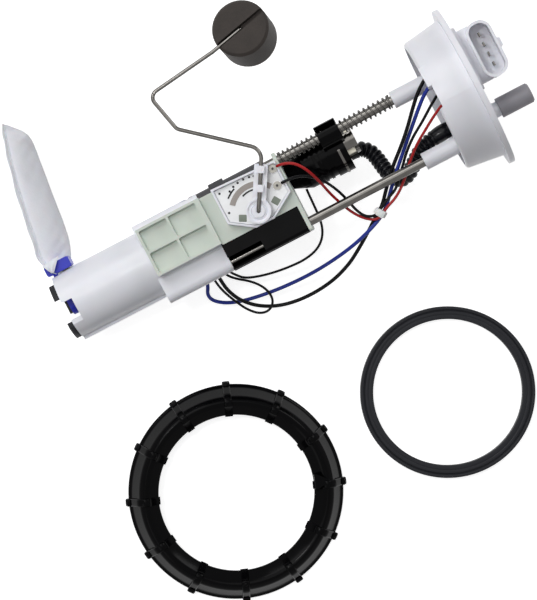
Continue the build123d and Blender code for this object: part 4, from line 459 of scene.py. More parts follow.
SENDER_WIRE_BLACK = [
    (-13.3, 7.7, 21.0), (-19.0, 6.9, 20.4), (-27.4, 1.8, 18.2), (-36.4, -4.6, 14.8),
    (-45.2, -9.8, 12.0), (-53.2, -16.2, 9.4), (-61.6, -25.2, 5.4), (-70.0, -34.4, 5.0),
    (-76.2, -36.6, 6.3), (-82.7, -39.9, 5.6), (-88.6, -43.4, 5.0), (-94.8, -40.9, 5.7),
    (-98.0, -34.9, 5.3), (-99.6, -28.5, 5.0), (-101.2, -22.2, 6.6), (-103.6, -16.0, 10.4),
    (-107.0, -9.6, 14.8), (-111.8, -4.2, 19.6), (-117.8, 0.2, 23.6), (-124.6, 1.8, 25.8),
    (-131.1, 1.9, 24.8),
]
SENDER_WIRE_RED = [
    (-13.3, 1.0, 21.0), (-19.6, -0.2, 20.0), (-29.0, -5.0, 16.6), (-37.8, -10.4, 13.0),
    (-45.8, -15.4, 9.8), (-54.2, -22.6, 6.4), (-63.6, -32.4, 4.9), (-72.2, -38.9, 5.2),
    (-81.3, -42.0, 5.6), (-88.1, -46.2, 5.0), (-94.4, -43.0, 3.8), (-99.6, -37.0, 3.8),
    (-103.2, -30.0, 4.4), (-105.9, -23.0, 6.2), (-108.0, -16.5, 11.0), (-109.4, -10.2, 17.5),
    (-111.2, -3.8, 24.4), (-113.8, 2.8, 28.4), (-118.0, 8.6, 29.4), (-123.4, 11.8, 28.4),
    (-128.9, 12.4, 24.9),
]
GROUND_WIRE = [
    (-119.8, -8.4, -7.0), (-120.2, -16.0, -7.3), (-120.6, -25.0, -8.0), (-121.6, -33.4, -9.5),
    (-125.4, -40.8, -11.6), (-132.0, -45.6, -14.0), (-141.5, -47.6, -16.5), (-152.0, -47.2, -18.5),
    (-163.0, -45.8, -19.5), (-173.0, -43.4, -18.5), (-181.0, -40.2, -15.5), (-184.6, -35.8, -12.0),
    (-187.2, -32.0, -9.0), (-187.5, -28.3, -8.0),
]
LOOP_WIRE = [
    (-190.8, -28.3, -8.0), (-190.2, -32.8, -8.6), (-185.4, -38.2, -10.6), (-178.8, -43.2, -13.8),
    (-173.6, -49.4, -17.4), (-171.0, -56.4, -20.2), (-172.0, -62.6, -21.4), (-177.0, -66.2, -21.2),
    (-183.2, -64.8, -21.0), (-188.8, -59.0, -20.2), (-193.2, -50.2, -17.2), (-196.5, -41.4, -12.8),
    (-197.8, -34.2, -9.4), (-198.0, -28.3, -8.0),
]
CORRUGATED_HOSE = [
    (-85.7, -1.0, -21.0), (-79.0, -1.0, -21.0), (-73.5, -5.3, -21.0), (-71.4, -12.2, -19.4),
    (-70.6, -19.4, -16.0), (-69.0, -26.2, -12.4), (-64.8, -31.0, -9.2), (-58.2, -29.9, -6.6),
    (-52.0, -24.6, -4.4), (-45.0, -19.8, -2.4), (-37.0, -17.4, -1.0), (-29.0, -16.4, -0.3),
    (-20.5, -16.2, 0.0), (-12.5, -16.2, 0.0),
]
print("six wire routes and the hose's")

# %% From a route to a smooth line, and from a line to a tube
STEPS_A_POINT = 14


def smooth_line(name, points):
    """Points on the NURBS curve of order 3 whose control points are the route's, in table metres."""
    curve = bpy.data.curves.new(name, "CURVE")
    curve.dimensions = "3D"
    spline = curve.splines.new("NURBS")
    spline.points.add(len(points) - 1)
    path = place(points)
    spline.points.foreach_set("co", np.column_stack([path, np.ones(len(path))]).ravel())
    spline.order_u = 3
    spline.use_endpoint_u = True
    spline.resolution_u = STEPS_A_POINT
    holder = in_scene(name, curve)
    bpy.context.view_layer.update()
    line = bpy.data.meshes.new_from_object(holder)
    found = np.zeros(len(line.vertices) * 3)
    line.vertices.foreach_get("co", found)
    bpy.data.objects.remove(holder)
    return found.reshape(-1, 3)


def line_length(line):
    return float(running(line)[-1])


def resampled(line, step):
    """Places at equal steps along the line, by linear interpolation on its running length."""
    run = running(line)
    even = np.linspace(0, run[-1], max(8, int(run[-1] / step)))
    return np.stack([np.interp(even, run, line[:, k]) for k in range(3)], -1)


def tube(name, line, radius, sides=20, side_way=None):
    """A tube round the line: at each place, radius times (cosine of the turn along one side
    direction plus sine along the other). radius is one number or one for each place."""
    line = np.asarray(line, float)
    ahead = unit(np.gradient(line, axis=0))
    if side_way is None:
        side_way = np.eye(3)[np.argmin(np.abs(ahead).max(0))]
    first = unit(np.cross(ahead, side_way))
    second = np.cross(ahead, first)
    turn = np.linspace(0, 2 * np.pi, sides, endpoint=False)
    ring = first[:, None] * np.cos(turn)[None, :, None] + second[:, None] * np.sin(turn)[None, :, None]
    reach = np.broadcast_to(radius, (len(line),))[:, None, None]
    return surface(name, line[:, None] + ring * reach, caps=True)


print("line helpers ready")

# %% [markdown]
# Four wires leave the plug under the lid. The thick black and blue ones feed the pump through
# a rubber grommet in the cup, and the thin black and red ones go to the float sender. Two more
# thin wires loop round the carrier.

# %% Wires


WIRE_STEP, WIRE_SIDES = 0.0016, 16
WIRES = {
    "pump_wire_black": (PUMP_WIRE_BLACK, 0.0012, black_pvc, "black_insulation"),
    "pump_wire_blue": (PUMP_WIRE_BLUE, 0.0012, blue_pvc, "blue_insulation"),
    "sender_wire_black": (SENDER_WIRE_BLACK, 0.0009, black_pvc, "black_insulation"),
    "sender_wire_red": (SENDER_WIRE_RED, 0.0009, red_pvc, "red_insulation"),
    "ground_wire": (GROUND_WIRE, 0.0008, black_pvc, "black_insulation"),
    "loop_wire": (LOOP_WIRE, 0.0008, black_pvc, "black_insulation"),
}
for node_name, (route, radius, finish, slot_name) in WIRES.items():
    path = smooth_line(node_name + "_route", route)
    even = resampled(path, WIRE_STEP)
    wire = tube(node_name + "_drawn", even, radius, WIRE_SIDES)
    wire.data.materials.append(finish)
    if node_name in ("ground_wire", "loop_wire"):
        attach(wire, "carrier")
    else:
        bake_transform(wire)
    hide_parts(node_name)
    print(node_name, round(line_length(path) * 1000), "mm long")

# %% [markdown]
# The black hose from the pump's outlet head to the lid is corrugated so that it bends without
# kinking. Its wall swells and narrows in rings 3.3 mm apart, and both its ends are smooth
# cuffs pushed on their nipples. The radius along the tube is a rounded wave, flat in the cuffs.

# %% Corrugated hose
RING_PITCH, RING_VALLEY, RING_HIGH, RING_ROUND = 0.0033, 0.0038, 0.0014, 0.55
CUFF_RADIUS, PUMP_CUFF, LID_CUFF, CUFF_STEP = 0.0050, 0.005, 0.021, 0.001
BEAD_HIGH, BEAD_LONG = 0.0003, 0.009
HOSE_STEP, HOSE_SIDES, HOSE_WIDE = 0.00022, 36, 0.010

hose_path = smooth_line("hose_route", CORRUGATED_HOSE)
hose_line = resampled(hose_path, HOSE_STEP)
run = np.linspace(0, line_length(hose_path), len(hose_line))
rings = RING_VALLEY + RING_HIGH * np.abs(np.sin(np.pi * run / RING_PITCH)) ** RING_ROUND
ringed = np.clip(np.minimum(run - PUMP_CUFF, run[-1] - LID_CUFF - run) / CUFF_STEP, 0, 1)
bead = np.sin(np.pi * np.clip((run - run[-1] + LID_CUFF) / BEAD_LONG, 0, 1))
cuffs = CUFF_RADIUS + BEAD_HIGH * bead
hose = tube("hose_drawn", hose_line, ringed * rings + (1 - ringed) * cuffs, HOSE_SIDES)
hose.data.materials.append(hose_plastic)
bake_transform(hose)
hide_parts("corrugated_hose")
print("hose", round(line_length(hose_path) * 1000), "mm long")

# %% [markdown]
# Some pieces are made of several small surfaces, such as a strap beside a band. One helper
# gathers their meshes into a single piece, a second gives a piece its finish and the body that
# it rides on and hides the CAD nodes that it stands for, and a third makes a soft-edged block.

# %% Gather, dress and round


def gathered(name, meshes, degrees=35):
    """One piece from several meshes. Edges whose faces meet at more than this angle look sharp."""
    whole = bmesh.new()
    for mesh in meshes:
        whole.from_mesh(mesh)
        bpy.data.meshes.remove(mesh)
    mesh = bpy.data.meshes.new(name)
    whole.to_mesh(mesh)
    whole.free()
    mesh.shade_smooth()
    mesh.set_sharp_from_angle(angle=np.radians(degrees))
    return in_scene(name, mesh)


def dressed(piece, finish, stands_for=(), rides_on=None):
    """Give a piece its material, the nodes that it replaces and the body that it rides on."""
    piece.data.materials.append(finish)
    if rides_on:
        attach(piece, rides_on)
    if stands_for:
        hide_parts(*stands_for)
    return piece


def rounded_box(name, centre, axes, half, corner, squareness=6.0, steps=40, to_metres=place):
    """A box with soft edges. Each section is a superellipse, abs(cos)**(2/n) and abs(sin)**(2/n),
    and near both ends it draws in along a quarter circle. Millimetres, by default the module's."""
    ring = superellipse(steps, 2 / squareness)
    bend = np.linspace(0, np.pi / 2, 6)
    inset, draw_in = corner * (1 - np.cos(bend)), corner * (1 - np.sin(bend))
    rise = np.concatenate([inset - half[2], half[2] - inset[::-1]])
    draw = np.concatenate([draw_in, draw_in[::-1]])
    first, second, third = (np.asarray(axis, float) for axis in axes)
    grid = (
        np.asarray(centre, float)
        + ring[None, :, :1] * (half[0] - draw)[:, None, None] * first
        + ring[None, :, 1:] * (half[1] - draw)[:, None, None] * second
        + rise[:, None, None] * third
    )
    return surface(name, to_metres(grid), caps=True, bare=True)


print("piece helpers ready")

# %% [markdown]
# The guide spring pushes the lid away from the carrier, so that the float unit always stands on
# the tank's floor. It is a compression spring of drawn steel: even turns 3.3 mm apart, with one
# turn at each end closed up so that it sits square. A real helix is a tube along a circle that
# rises, and its pitch is small at the ends.

# %% Guide spring
SPRING_FROM, SPRING_TO, SPRING_TURNS = -125.9, -47.9, 25.0
SPRING_RADIUS, SPRING_WIRE, POINTS_A_TURN = 4.1, 0.52, 26
CLOSED_PITCH, EXTRA_PITCH, CLOSED_TURNS, OPENING_TURNS = 1.1, 2.3, 1.0, 0.7
ROD_Y, ROD_Z = 15.5, 10.0
turns = np.linspace(0, SPRING_TURNS, int(SPRING_TURNS * POINTS_A_TURN))
from_end = np.minimum(turns, SPRING_TURNS - turns)
pitch = CLOSED_PITCH + EXTRA_PITCH * np.clip((from_end - CLOSED_TURNS) / OPENING_TURNS, 0, 1)
rise = np.concatenate([[0], np.cumsum((pitch[1:] + pitch[:-1]) / 2)])
rise = SPRING_FROM + SPRING_WIRE + (SPRING_TO - SPRING_FROM - 2 * SPRING_WIRE) * rise / rise[-1]
wound = 2 * np.pi * turns
helix = np.stack(
    [rise, ROD_Y + SPRING_RADIUS * np.cos(wound), ROD_Z + SPRING_RADIUS * np.sin(wound)], -1
)
spring = tube("guide_spring_coiled", place(helix), SPRING_WIRE / 1000, 12, side_way=ALONG)
dressed(spring, spring_wire_painted_dark, ["guide_spring"])
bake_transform(spring)
print("spring turns", SPRING_TURNS, "pitch", round(float(np.diff(rise).max() * POINTS_A_TURN), 2), "mm")

# %% [markdown]
# A natural nylon cable tie holds the four wires together under the hose. Its strap is a flat
# band bent round them, and its head is a small block with a rib, with the strap's cut end
# standing out of it. The band is a flat rounded section carried round a rounded square.

# %% Cable tie
TIE_AT = np.array((-85.3, -43.0, 4.0))
TIE_RUN = unit(np.array((-0.845, -0.53, -0.07)))
TIE_SIDE = unit(np.array((0.531, -0.847, 0.0)))
TIE_UP = np.cross(TIE_RUN, TIE_SIDE)
TIE_WIDE, TIE_THICK, TIE_INSIDE = 3.6, 1.0, 5.8
LOOP_DROP, HEAD_RISE, RIB_RISE, TAIL_RISE, TAIL_OUT = 0.2, 5.2, 1.5, 0.1, 3.1
HEAD_HALF, RIB_HALF, TAIL_HALF = (2.7, 2.3, 1.6), (1.5, 1.5, 0.35), (0.55, 1.6, 1.4)

loop = superellipse(64, 0.55)
section = superellipse(20, 0.35, 0.6) * (TIE_WIDE / 2, TIE_THICK / 2)
reach = (TIE_INSIDE + TIE_THICK) / 2 + section[:, 1]
band = (
    TIE_AT
    - LOOP_DROP * TIE_UP
    + loop[:, None, :1] * reach[None, :, None] * TIE_SIDE
    + loop[:, None, 1:] * reach[None, :, None] * TIE_UP
    + section[None, :, :1] * TIE_RUN
)
head_at = TIE_AT + HEAD_RISE * TIE_UP
flat_way, tail_way = (TIE_SIDE, TIE_RUN, TIE_UP), (TIE_UP, TIE_RUN, TIE_SIDE)
tail_at = head_at + TAIL_RISE * TIE_UP - TAIL_OUT * TIE_SIDE
tie_parts = [
    surface("tie band", place(band), closed_along=True, flip=True, bare=True),
    rounded_box("tie head", head_at, flat_way, HEAD_HALF, 0.5),
    rounded_box("tie rib", head_at + RIB_RISE * TIE_UP, flat_way, RIB_HALF, 0.2),
    rounded_box("tie tail", tail_at, tail_way, TAIL_HALF, 0.25),
]
tie = dressed(gathered("cable_tie_strap", tie_parts), tie_nylon, ["cable_tie"])
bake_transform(tie)
print("cable tie", len(tie.data.polygons), "faces")

# %% [markdown]
# The strainer is a sock of white felt over a thin spacer, and the pump sucks its fuel through
# it. It is sewn flat from one sheet: folded along one long edge, and welded along the other in
# a flat hem with a row of small dots. It stands on its edge beside the cup and leans back a
# little. The sock is a loft: each section is a lens, thick in the middle, whose one end runs
# out into the thin hem. Its width, thickness and middle change along the sock, and slow waves
# give the soft dimples where the felt sags between the spacer's ribs.

# %% Strainer sock
# Along the sock: the module's y, then x and z of the hem's edge, and x and z of the fold's edge.
# The thickness is half the sock's, at shares of its length.
SOCK_RUN = np.array(
    [
        (14.0, -281.5, 2.0, -279.0, -9.0),
        (19.5, -285.6, 4.5, -275.0, -14.5),
        (25.0, -288.0, 5.6, -272.5, -18.5),
        (33.0, -288.6, 6.6, -270.0, -21.8),
        (44.0, -286.4, 7.2, -268.4, -23.6),
        (58.0, -284.4, 7.2, -266.8, -23.8),
        (75.0, -281.2, 6.4, -264.8, -23.6),
        (90.0, -277.8, 5.2, -263.0, -22.6),
        (101.0, -275.0, 4.2, -261.6, -21.4),
        (110.0, -272.2, 3.2, -261.6, -19.6),
        (116.0, -270.0, 2.4, -262.6, -17.6),
    ]
)
SOCK_ROWS, SOCK_COLUMNS, HEM_SHARE, HEM_HALF = 90, 96, 0.11, 0.35
SLANT, SLANT_FROM, SLANT_LONG = 9.5, 70, 46
HEM_WAVE_RATE, HEM_WAVE_SHARE = 40, 0.08
THICK_AT = ((0, 1.2), (0.08, 3.4), (0.2, 5.2), (0.45, 5.6), (0.7, 5.2), (0.88, 3.4), (0.97, 1.4), (1, 0.5))
sock_thick = np.interp(np.linspace(0, 1, SOCK_ROWS), *np.transpose(THICK_AT))
sock_thick = np.convolve(np.pad(sock_thick, 4, mode="edge"), np.ones(9) / 9, "valid")[:, None]


def smooth_between(table, count):
    """Rows read evenly from a table, by Catmull-Rom curves through its rows."""
    spot = np.linspace(0, len(table) - 1, count)
    base = np.clip(spot.astype(int), 0, len(table) - 2)
    t = (spot - base)[:, None]
    wide = np.concatenate([2 * table[:1] - table[1:2], table, 2 * table[-1:] - table[-2:-1]])
    a, b, c, d = wide[base], wide[base + 1], wide[base + 2], wide[base + 3]
    return 0.5 * (2 * b + (c - a) * t + (2 * a - 5 * b + 4 * c - d) * t**2 + (3 * b - a - 3 * c + d) * t**3)


sock_rows = smooth_between(SOCK_RUN, SOCK_ROWS)
hem, fold = sock_rows[:, [1, 0, 2]], sock_rows[:, [3, 0, 4]]
# The tip is cut on a slant: its fold side stops lower than its hem side
fold[:, 1] -= SLANT * np.clip((sock_rows[:, 0] - SLANT_FROM) / SLANT_LONG, 0, 1) ** 2
round_sock = np.linspace(0, 2 * np.pi, SOCK_COLUMNS, endpoint=False)
share = (1 - np.cos(round_sock)) / 2  # 0 on the hem's edge, 1 on the fold's
side = np.sign(np.sin(round_sock))
inside = np.clip((share - HEM_SHARE) / (1 - HEM_SHARE), 0, 1)
plump = np.sqrt(np.clip(4 * inside * (1 - inside), 0, 1)) ** 1.15  # 0 at the edges, 1 in the middle
along_sock = np.linspace(0, 1, SOCK_ROWS)[:, None]
# Four slow waves along and across the sock, each with its height in millimetres in front
dimples = (
    0.95 * np.sin(2 * np.pi * (2.6 * along_sock + 0.1)) * np.sin(np.pi * share) ** 2
    + 0.35 * np.sin(2 * np.pi * (5.3 * along_sock + 0.7 * share + 0.3)) * np.sin(np.pi * share)
    + 0.5
    * np.sin(2 * np.pi * (6.7 * along_sock + 1.1 * share))
    * np.sin(2 * np.pi * (1.4 * share + 3.1 * along_sock))
    * plump
    + 0.16 * np.sin(2 * np.pi * (12.1 * along_sock - 1.9 * share)) * plump
)
half_thick = HEM_HALF + plump * (sock_thick + dimples * np.clip(sock_thick / 4, 0, 1))
width_way = fold - hem
out_way = unit(np.cross(unit(width_way), np.array((0.0, 1.0, 0.0))))
# The hem is pressed into a wavy edge by its welds
wavy = HEM_HALF * np.sin(along_sock * HEM_WAVE_RATE) * np.exp(-((share / HEM_WAVE_SHARE) ** 2))
lift = (half_thick * side + wavy)[:, :, None]
sock_grid = hem[:, None] + width_way[:, None] * share[None, :, None] + out_way[:, None] * lift
sock = surface("strainer_sock", place(sock_grid), caps=True)
print("sock", round(float(np.linalg.norm(width_way[40])), 1), "mm wide in its middle")

# %% [markdown]
# The weld is a row of dots pressed into the hem 1.8 mm apart. The felt's material can't know
# where the hem is, so the row is made of small flat pads that stand a little out of the felt,
# and at the lower end the felt is folded into a pointed flap over the blue clip.

# %% Weld dots and folded flap
WELD_PITCH, WELD_FROM, WELD_TO, WELD_RISE, DOT_HALF = 1.8, 13, 2, 0.45, (0.55, 0.45, 0.3)
weld_parts = []
run_mm = running(hem)
for place_mm in np.arange(WELD_FROM, run_mm[-1] - WELD_TO, WELD_PITCH):
    row = int(np.searchsorted(run_mm, place_mm))
    ahead = unit(hem[min(row + 1, SOCK_ROWS - 1)] - hem[row - 1])
    spot = hem[row] + width_way[row] * (HEM_SHARE * 0.9)
    for outside in (out_way[row], -out_way[row]):
        dot_axes = (ahead, unit(width_way[row]), outside)
        weld_parts.append(rounded_box("dot", spot + outside * WELD_RISE, dot_axes, DOT_HALF, 0.15, 2.4, 10))
weld = gathered("strainer_weld", weld_parts, 60)

FLAP_LEFT, FLAP_RIGHT = np.array((-288.6, 24.6, 6.6)), np.array((-276.6, 26.2, 4.2))
FLAP_TIP = np.array((-284.4, 18.6, 7.6))
FLAP_PUFF, FLAP_CREASE, FELT_THICK = 1.6, 0.3, 0.0008
across, down = np.meshgrid(np.linspace(-1, 1, 25), np.linspace(0, 1, 25))
fold_line = (FLAP_LEFT + FLAP_RIGHT) / 2 + across[..., None] * (FLAP_RIGHT - FLAP_LEFT) / 2
bulge = FLAP_PUFF * (1 - across**2) * np.sin(np.pi * 0.9 * down)
bulge += FLAP_CREASE * np.sin(5 * across + 3 * down)
flap_top = fold_line + (FLAP_TIP - fold_line) * down[..., None] + bulge[..., None] * UP
flap = surface("strainer_flap", place(flap_top), closed_round=False)
thick = flap.modifiers.new("felt thickness", "SOLIDIFY")
thick.thickness, thick.offset = FELT_THICK, -1.0
for piece in (sock, weld, flap):
    dressed(piece, felt, rides_on="carrier")
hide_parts("strainer_bag")
print("weld dots", len(weld_parts))

# %% [markdown]
# The lock ring screws over the tank's neck and clamps the lid. It is one gloss black moulding:
# a band with a rounded crest, coned inward to the hole and outward to a lip, and twelve straps
# over it whose ends are blocks, so that a tool can grip the ring. Both are profiles: the band's
# goes round a full turn, and a strap's flat section follows the band's slopes.

# %% Lock ring
OVAL_TURN = np.radians(-27.6)
LOCK_AT = np.array((-245.9, -159.2, 0.0))
STRAPS, FIRST_STRAP, STRAP_HALF_WIDE, STRAP_HALF_THICK = 12, 8.0, 2.5, 1.25
BLOCK_REACH, BLOCK_HALF, BLOCK_CORNER = 68.0, (2.2, 2.5, 3.4), 0.6


def on_table(points):
    """Millimetres from the table's top to metres in its frame."""
    return np.asarray(points) / 1000 + FLOOR * UP


def spoke(degrees):
    """The level directions outward and sideways at that turn."""
    turn = np.radians(degrees)
    return np.array((np.cos(turn), np.sin(turn), 0)), np.array((-np.sin(turn), np.cos(turn), 0))


def upright_ring(name, profile, centre, steps=192, bare=False, stretch=0.0):
    """A closed profile (radius, height above the table) carried round a centre on the table. A
    soft ring is a little oval: its radius grows by stretch along its long way and shrinks by as
    much across it."""
    profile = np.asarray(profile, float)
    turn = np.linspace(0, 2 * np.pi, steps, endpoint=False)
    reach = profile[:, :1] + stretch * np.cos(2 * (turn - OVAL_TURN))
    high = np.broadcast_to(profile[:, 1:], reach.shape)
    grid = np.stack([centre[0] + reach * np.cos(turn), centre[1] + reach * np.sin(turn), high], -1)
    return surface(name, on_table(grid), closed_along=True, bare=bare)


def closed_rounded(profile, radius):
    """Every corner of a closed profile rounded, the first one too."""
    profile = np.asarray(profile, float)
    middle = (profile[:1] + profile[-1:]) / 2
    return rounded(np.concatenate([middle, profile, middle]), radius)[:-1]


BAND_PROFILE = (
    (63, 0), (69, 0), (69, 3), (66.8, 4.2), (61.8, 15.6),
    (58.8, 18), (56.0, 17.4), (49.6, 12.6), (49.6, 9.6), (58.5, 12),
)
# A strap's middle line, from its inner end over the crest and down the slope to its block
STRAP_LINE = ((48.8, 12.0), (55.8, 17.8), (58.8, 18.6), (62.2, 16.2), (67.4, 5.4), (69.4, 3.8), (70.0, 3.0))

lock_parts = [upright_ring("lock band", closed_rounded(BAND_PROFILE, 1.1), LOCK_AT, bare=True)]
strap_line = rounded(STRAP_LINE, 1.6, 6)
strap_half = STRAP_HALF_THICK * np.clip(np.linspace(0, 1, len(strap_line)) * 6, 0.1, 1)
section = superellipse(20, 0.45, 0.7)
slope = unit(np.gradient(strap_line, axis=0))
lift = np.stack([-slope[:, 1], slope[:, 0]], -1)
for strap in range(STRAPS):
    outward, sideways = spoke(FIRST_STRAP + strap * 360 / STRAPS)
    middle = strap_line[:, :1] * outward + strap_line[:, 1:] * UP
    rise_way = lift[:, :1] * outward + lift[:, 1:] * UP
    grid = (
        LOCK_AT
        + middle[:, None]
        + section[None, :, :1] * STRAP_HALF_WIDE * sideways
        + section[None, :, 1:] * strap_half[:, None, None] * rise_way[:, None]
    )
    lock_parts.append(surface("strap", on_table(grid), caps=True, bare=True))
    block_at = LOCK_AT + BLOCK_REACH * outward + BLOCK_HALF[2] * UP
    block_axes = (outward, sideways, UP)
    lock_parts.append(
        rounded_box("block", block_at, block_axes, BLOCK_HALF, BLOCK_CORNER, to_metres=on_table)
    )
print("lock ring straps", STRAPS)

# %% [markdown]
# Three of the straps carry a shallow round dimple, left by the mould's ejector pins, and the
# inner band has a raised arrow pad that shows the closed position. A dimple is a small turned
# dish with a rim. The pad is a rounded triangle: its rows of points step up from inside the band
# and then draw in to the middle of its top.

# %% Dimples and arrow pad
DISH_TURNS, DISH_REACH = (8.0, 128.0, -112.0), 57.6
DISH = ((0.01, 19.2), (0.9, 19.3), (1.3, 19.9), (1.8, 19.7), (2.0, 18.6))
PAD_TURN, PAD_REACH, PAD_POINTINESS = -19.5, 53.5, 1.7
PAD_ROWS = ((3.6, 12.2), (3.6, 18.3), (3.3, 18.8), (0.01, 18.8))  # distance to its sides, height

dish = np.concatenate([rounded(DISH, 0.3, 4), [(0.01, 18.6)]])
for degrees in DISH_TURNS:
    dish_at = LOCK_AT + DISH_REACH * spoke(degrees)[0]
    lock_parts.append(upright_ring("dimple", dish, dish_at, 24, bare=True))
pad_out, pad_side = spoke(PAD_TURN)
turn = np.linspace(0, 2 * np.pi, 36, endpoint=False)
pull = 1 / np.maximum.reduce([np.cos(turn - side) for side in (np.pi, np.pi / 3, -np.pi / 3)])
triangle = superellipse(36, 1.0) * np.minimum(pull, PAD_POINTINESS)[:, None]
pad_rows = [
    LOCK_AT + (PAD_REACH + triangle[:, :1] * size) * pad_out + triangle[:, 1:] * size * pad_side + high * UP
    for size, high in PAD_ROWS
]
lock_parts.append(surface("arrow pad", on_table(pad_rows), bare=True))
lock = gathered("lock_ring_moulded", lock_parts, 30)
dressed(lock, black_nylon, ["lock_ring"], "lock_ring")
print("lock ring", len(lock.data.polygons), "faces")

# %% [markdown]
# The seal is a soft black ring that lies between the lid and the tank's neck. Its section is a
# rounded rectangle whose upper face has a groove near its outer edge and a fainter one near its
# inner edge, which the profile gives directly.

# %% Seal ring
SEAL_OUT, SEAL_IN, SEAL_HIGH = 55.8, 47.6, 6.0
SEAL_AT, SEAL_STRETCH = (-95.9, -166.0), 0.65
OUTER_GROOVE = ((-1.9, 0), (-2.3, -0.8), (-2.7, -0.8), (-3.1, 0))
INNER_GROOVE = ((3.4, 0), (3.0, -0.35), (2.6, 0))
seal_profile = [(SEAL_IN, 0), (SEAL_OUT, 0), (SEAL_OUT, SEAL_HIGH)]
seal_profile += [(SEAL_OUT + out, SEAL_HIGH + up) for out, up in OUTER_GROOVE]
seal_profile += [(SEAL_IN + out, SEAL_HIGH + up) for out, up in INNER_GROOVE]
seal_profile = closed_rounded([*seal_profile, (SEAL_IN, SEAL_HIGH)], 0.7)
seal = upright_ring("seal_ring_soft", seal_profile, SEAL_AT, stretch=SEAL_STRETCH)
dressed(seal, nitrile_rubber, ["seal_ring"], "seal_ring")
print("seal ring", len(seal.data.polygons), "faces")

# %% [markdown]
# The sender's card carries printed marks: six black dots that the resistor is trimmed at, two
# dots in its corners, and two grey-green squares of glass printed over silver. They are thin
# printed layers, so each is a flat piece about a tenth of a millimetre thick on the card. A
# dark disc of the same kind is painted shade for the blind hole in each of the two wire rivets.
# The wiper's hub has soft ridges in rings round the hole that the float wire goes down.

# %% Printed marks on the card, and painted shade in the rivets' holes
HUB_AT = np.array((-151.2, -7.0))
CARD_TOP = 23.5
MODULE_AXES = ((1, 0, 0), (0, 1, 0), (0, 0, 1))
PRINT_CORNERS = ((-168.0, 13.6), (-168.2, 0.4))
TERMINALS, RIVET_TOP = ((-134.0, 1.7), (-131.8, 12.2)), CARD_TOP + 1.6
DOT_REACH, DOT_TURNS, DOT_RADIUS, HOLE_RADIUS = 21.7, (119.1, 109.6, 100.0, 89.4, 79.0, 71.2), 0.75, 0.8
PRINT_HALF, SQUARE_HALF = 0.06, (2.45, 2.2)
PRINT_SQUARES = (
    ((-162.2, -6.4), (0.886, -0.463, 0), (0.463, 0.886, 0)),
    ((-139.1, -6.3), (0.549, -0.836, 0), (0.836, 0.549, 0)),
)


def print_on(name, centre, height, half, axes=MODULE_AXES, squareness=2.0, steps=20):
    """A thin print with rounded edges: a disc at squareness 2, and a square at a high one."""
    size = (*half, PRINT_HALF)
    return rounded_box(name, (*centre, height), axes, size, PRINT_HALF / 2, squareness, steps)


dots = [HUB_AT + DOT_REACH * np.array((np.cos(turn), np.sin(turn))) for turn in np.radians(DOT_TURNS)]
dots += [np.array(corner) for corner in PRINT_CORNERS]
dots_and_rivet_shades = [print_on("dot", dot, CARD_TOP + PRINT_HALF, (DOT_RADIUS, DOT_RADIUS)) for dot in dots]
# The two discs on the rivets' tops are painted shade, standing in for the shade in their blind holes.
rivet_shade_half = (HOLE_RADIUS, HOLE_RADIUS)
dots_and_rivet_shades += [print_on("hole", spot, RIVET_TOP + PRINT_HALF / 2, rivet_shade_half) for spot in TERMINALS]
dressed(gathered("card_dots_and_rivet_shades", dots_and_rivet_shades), conductor_film, rides_on="carrier")
squares = [
    print_on("square", centre, CARD_TOP + PRINT_HALF, SQUARE_HALF, (*sides, UP), 12.0, 32)
    for centre, *sides in PRINT_SQUARES
]
dressed(gathered("card_squares", squares), glass_print, rides_on="carrier")
print("printed marks", len(dots), "dots and", len(squares), "squares")

# %% Soft rings on the wiper's hub
HUB_TOP, ARM_TURN, RING_SINK = 30.0, np.radians(59.5), 0.3


def arc_ring(name, inner, outer, base, high, start, sweep, steps=60):
    """A ridge round the hub: a half-round section between two radii, carried through a turn."""
    bend = np.linspace(0, np.pi, 9)
    reach = np.concatenate([(inner + outer) / 2 - (outer - inner) / 2 * np.cos(bend), [outer, inner]])
    rise = np.concatenate([base + high * np.sin(bend) ** 0.7, [base - RING_SINK] * 2])
    turn = (start + np.linspace(0, sweep, steps))[:, None]
    rise = np.broadcast_to(rise, (steps, len(rise)))
    grid = np.stack([HUB_AT[0] + reach * np.cos(turn), HUB_AT[1] + reach * np.sin(turn), rise], -1)
    return surface(name, place(grid), caps=True, flip=True, bare=True)


# Inner and outer radius, height, and half of the gap that the arm passes through, in radians
HUB_RIDGES = ((6.7, 7.7, 0.7, 0.62), (4.3, 5.2, 0.55, 0.5), (2.1, 2.9, 0.7, 0.75))
hub_rings = [
    arc_ring("ridge", inner, outer, HUB_TOP, high, ARM_TURN + gap, 2 * np.pi - 2 * gap)
    for inner, outer, high, gap in HUB_RIDGES
]
rings = dressed(
    gathered("wiper_hub_rings", hub_rings), white_acetal, rides_on="float_arm"
)
print("hub rings", len(rings.data.polygons), "faces")

# %% [markdown]
# No moulding has a perfectly sharp edge: the mould's own edges are broken by a few tenths of a
# millimetre, and that thin edge is what catches the light. The boxy solids that stay get it from
# three modifiers. Weld joins their loose triangles, a planar Decimate takes the flat faces
# back to whole polygons, and Bevel then rounds only the edges that turn sharply.

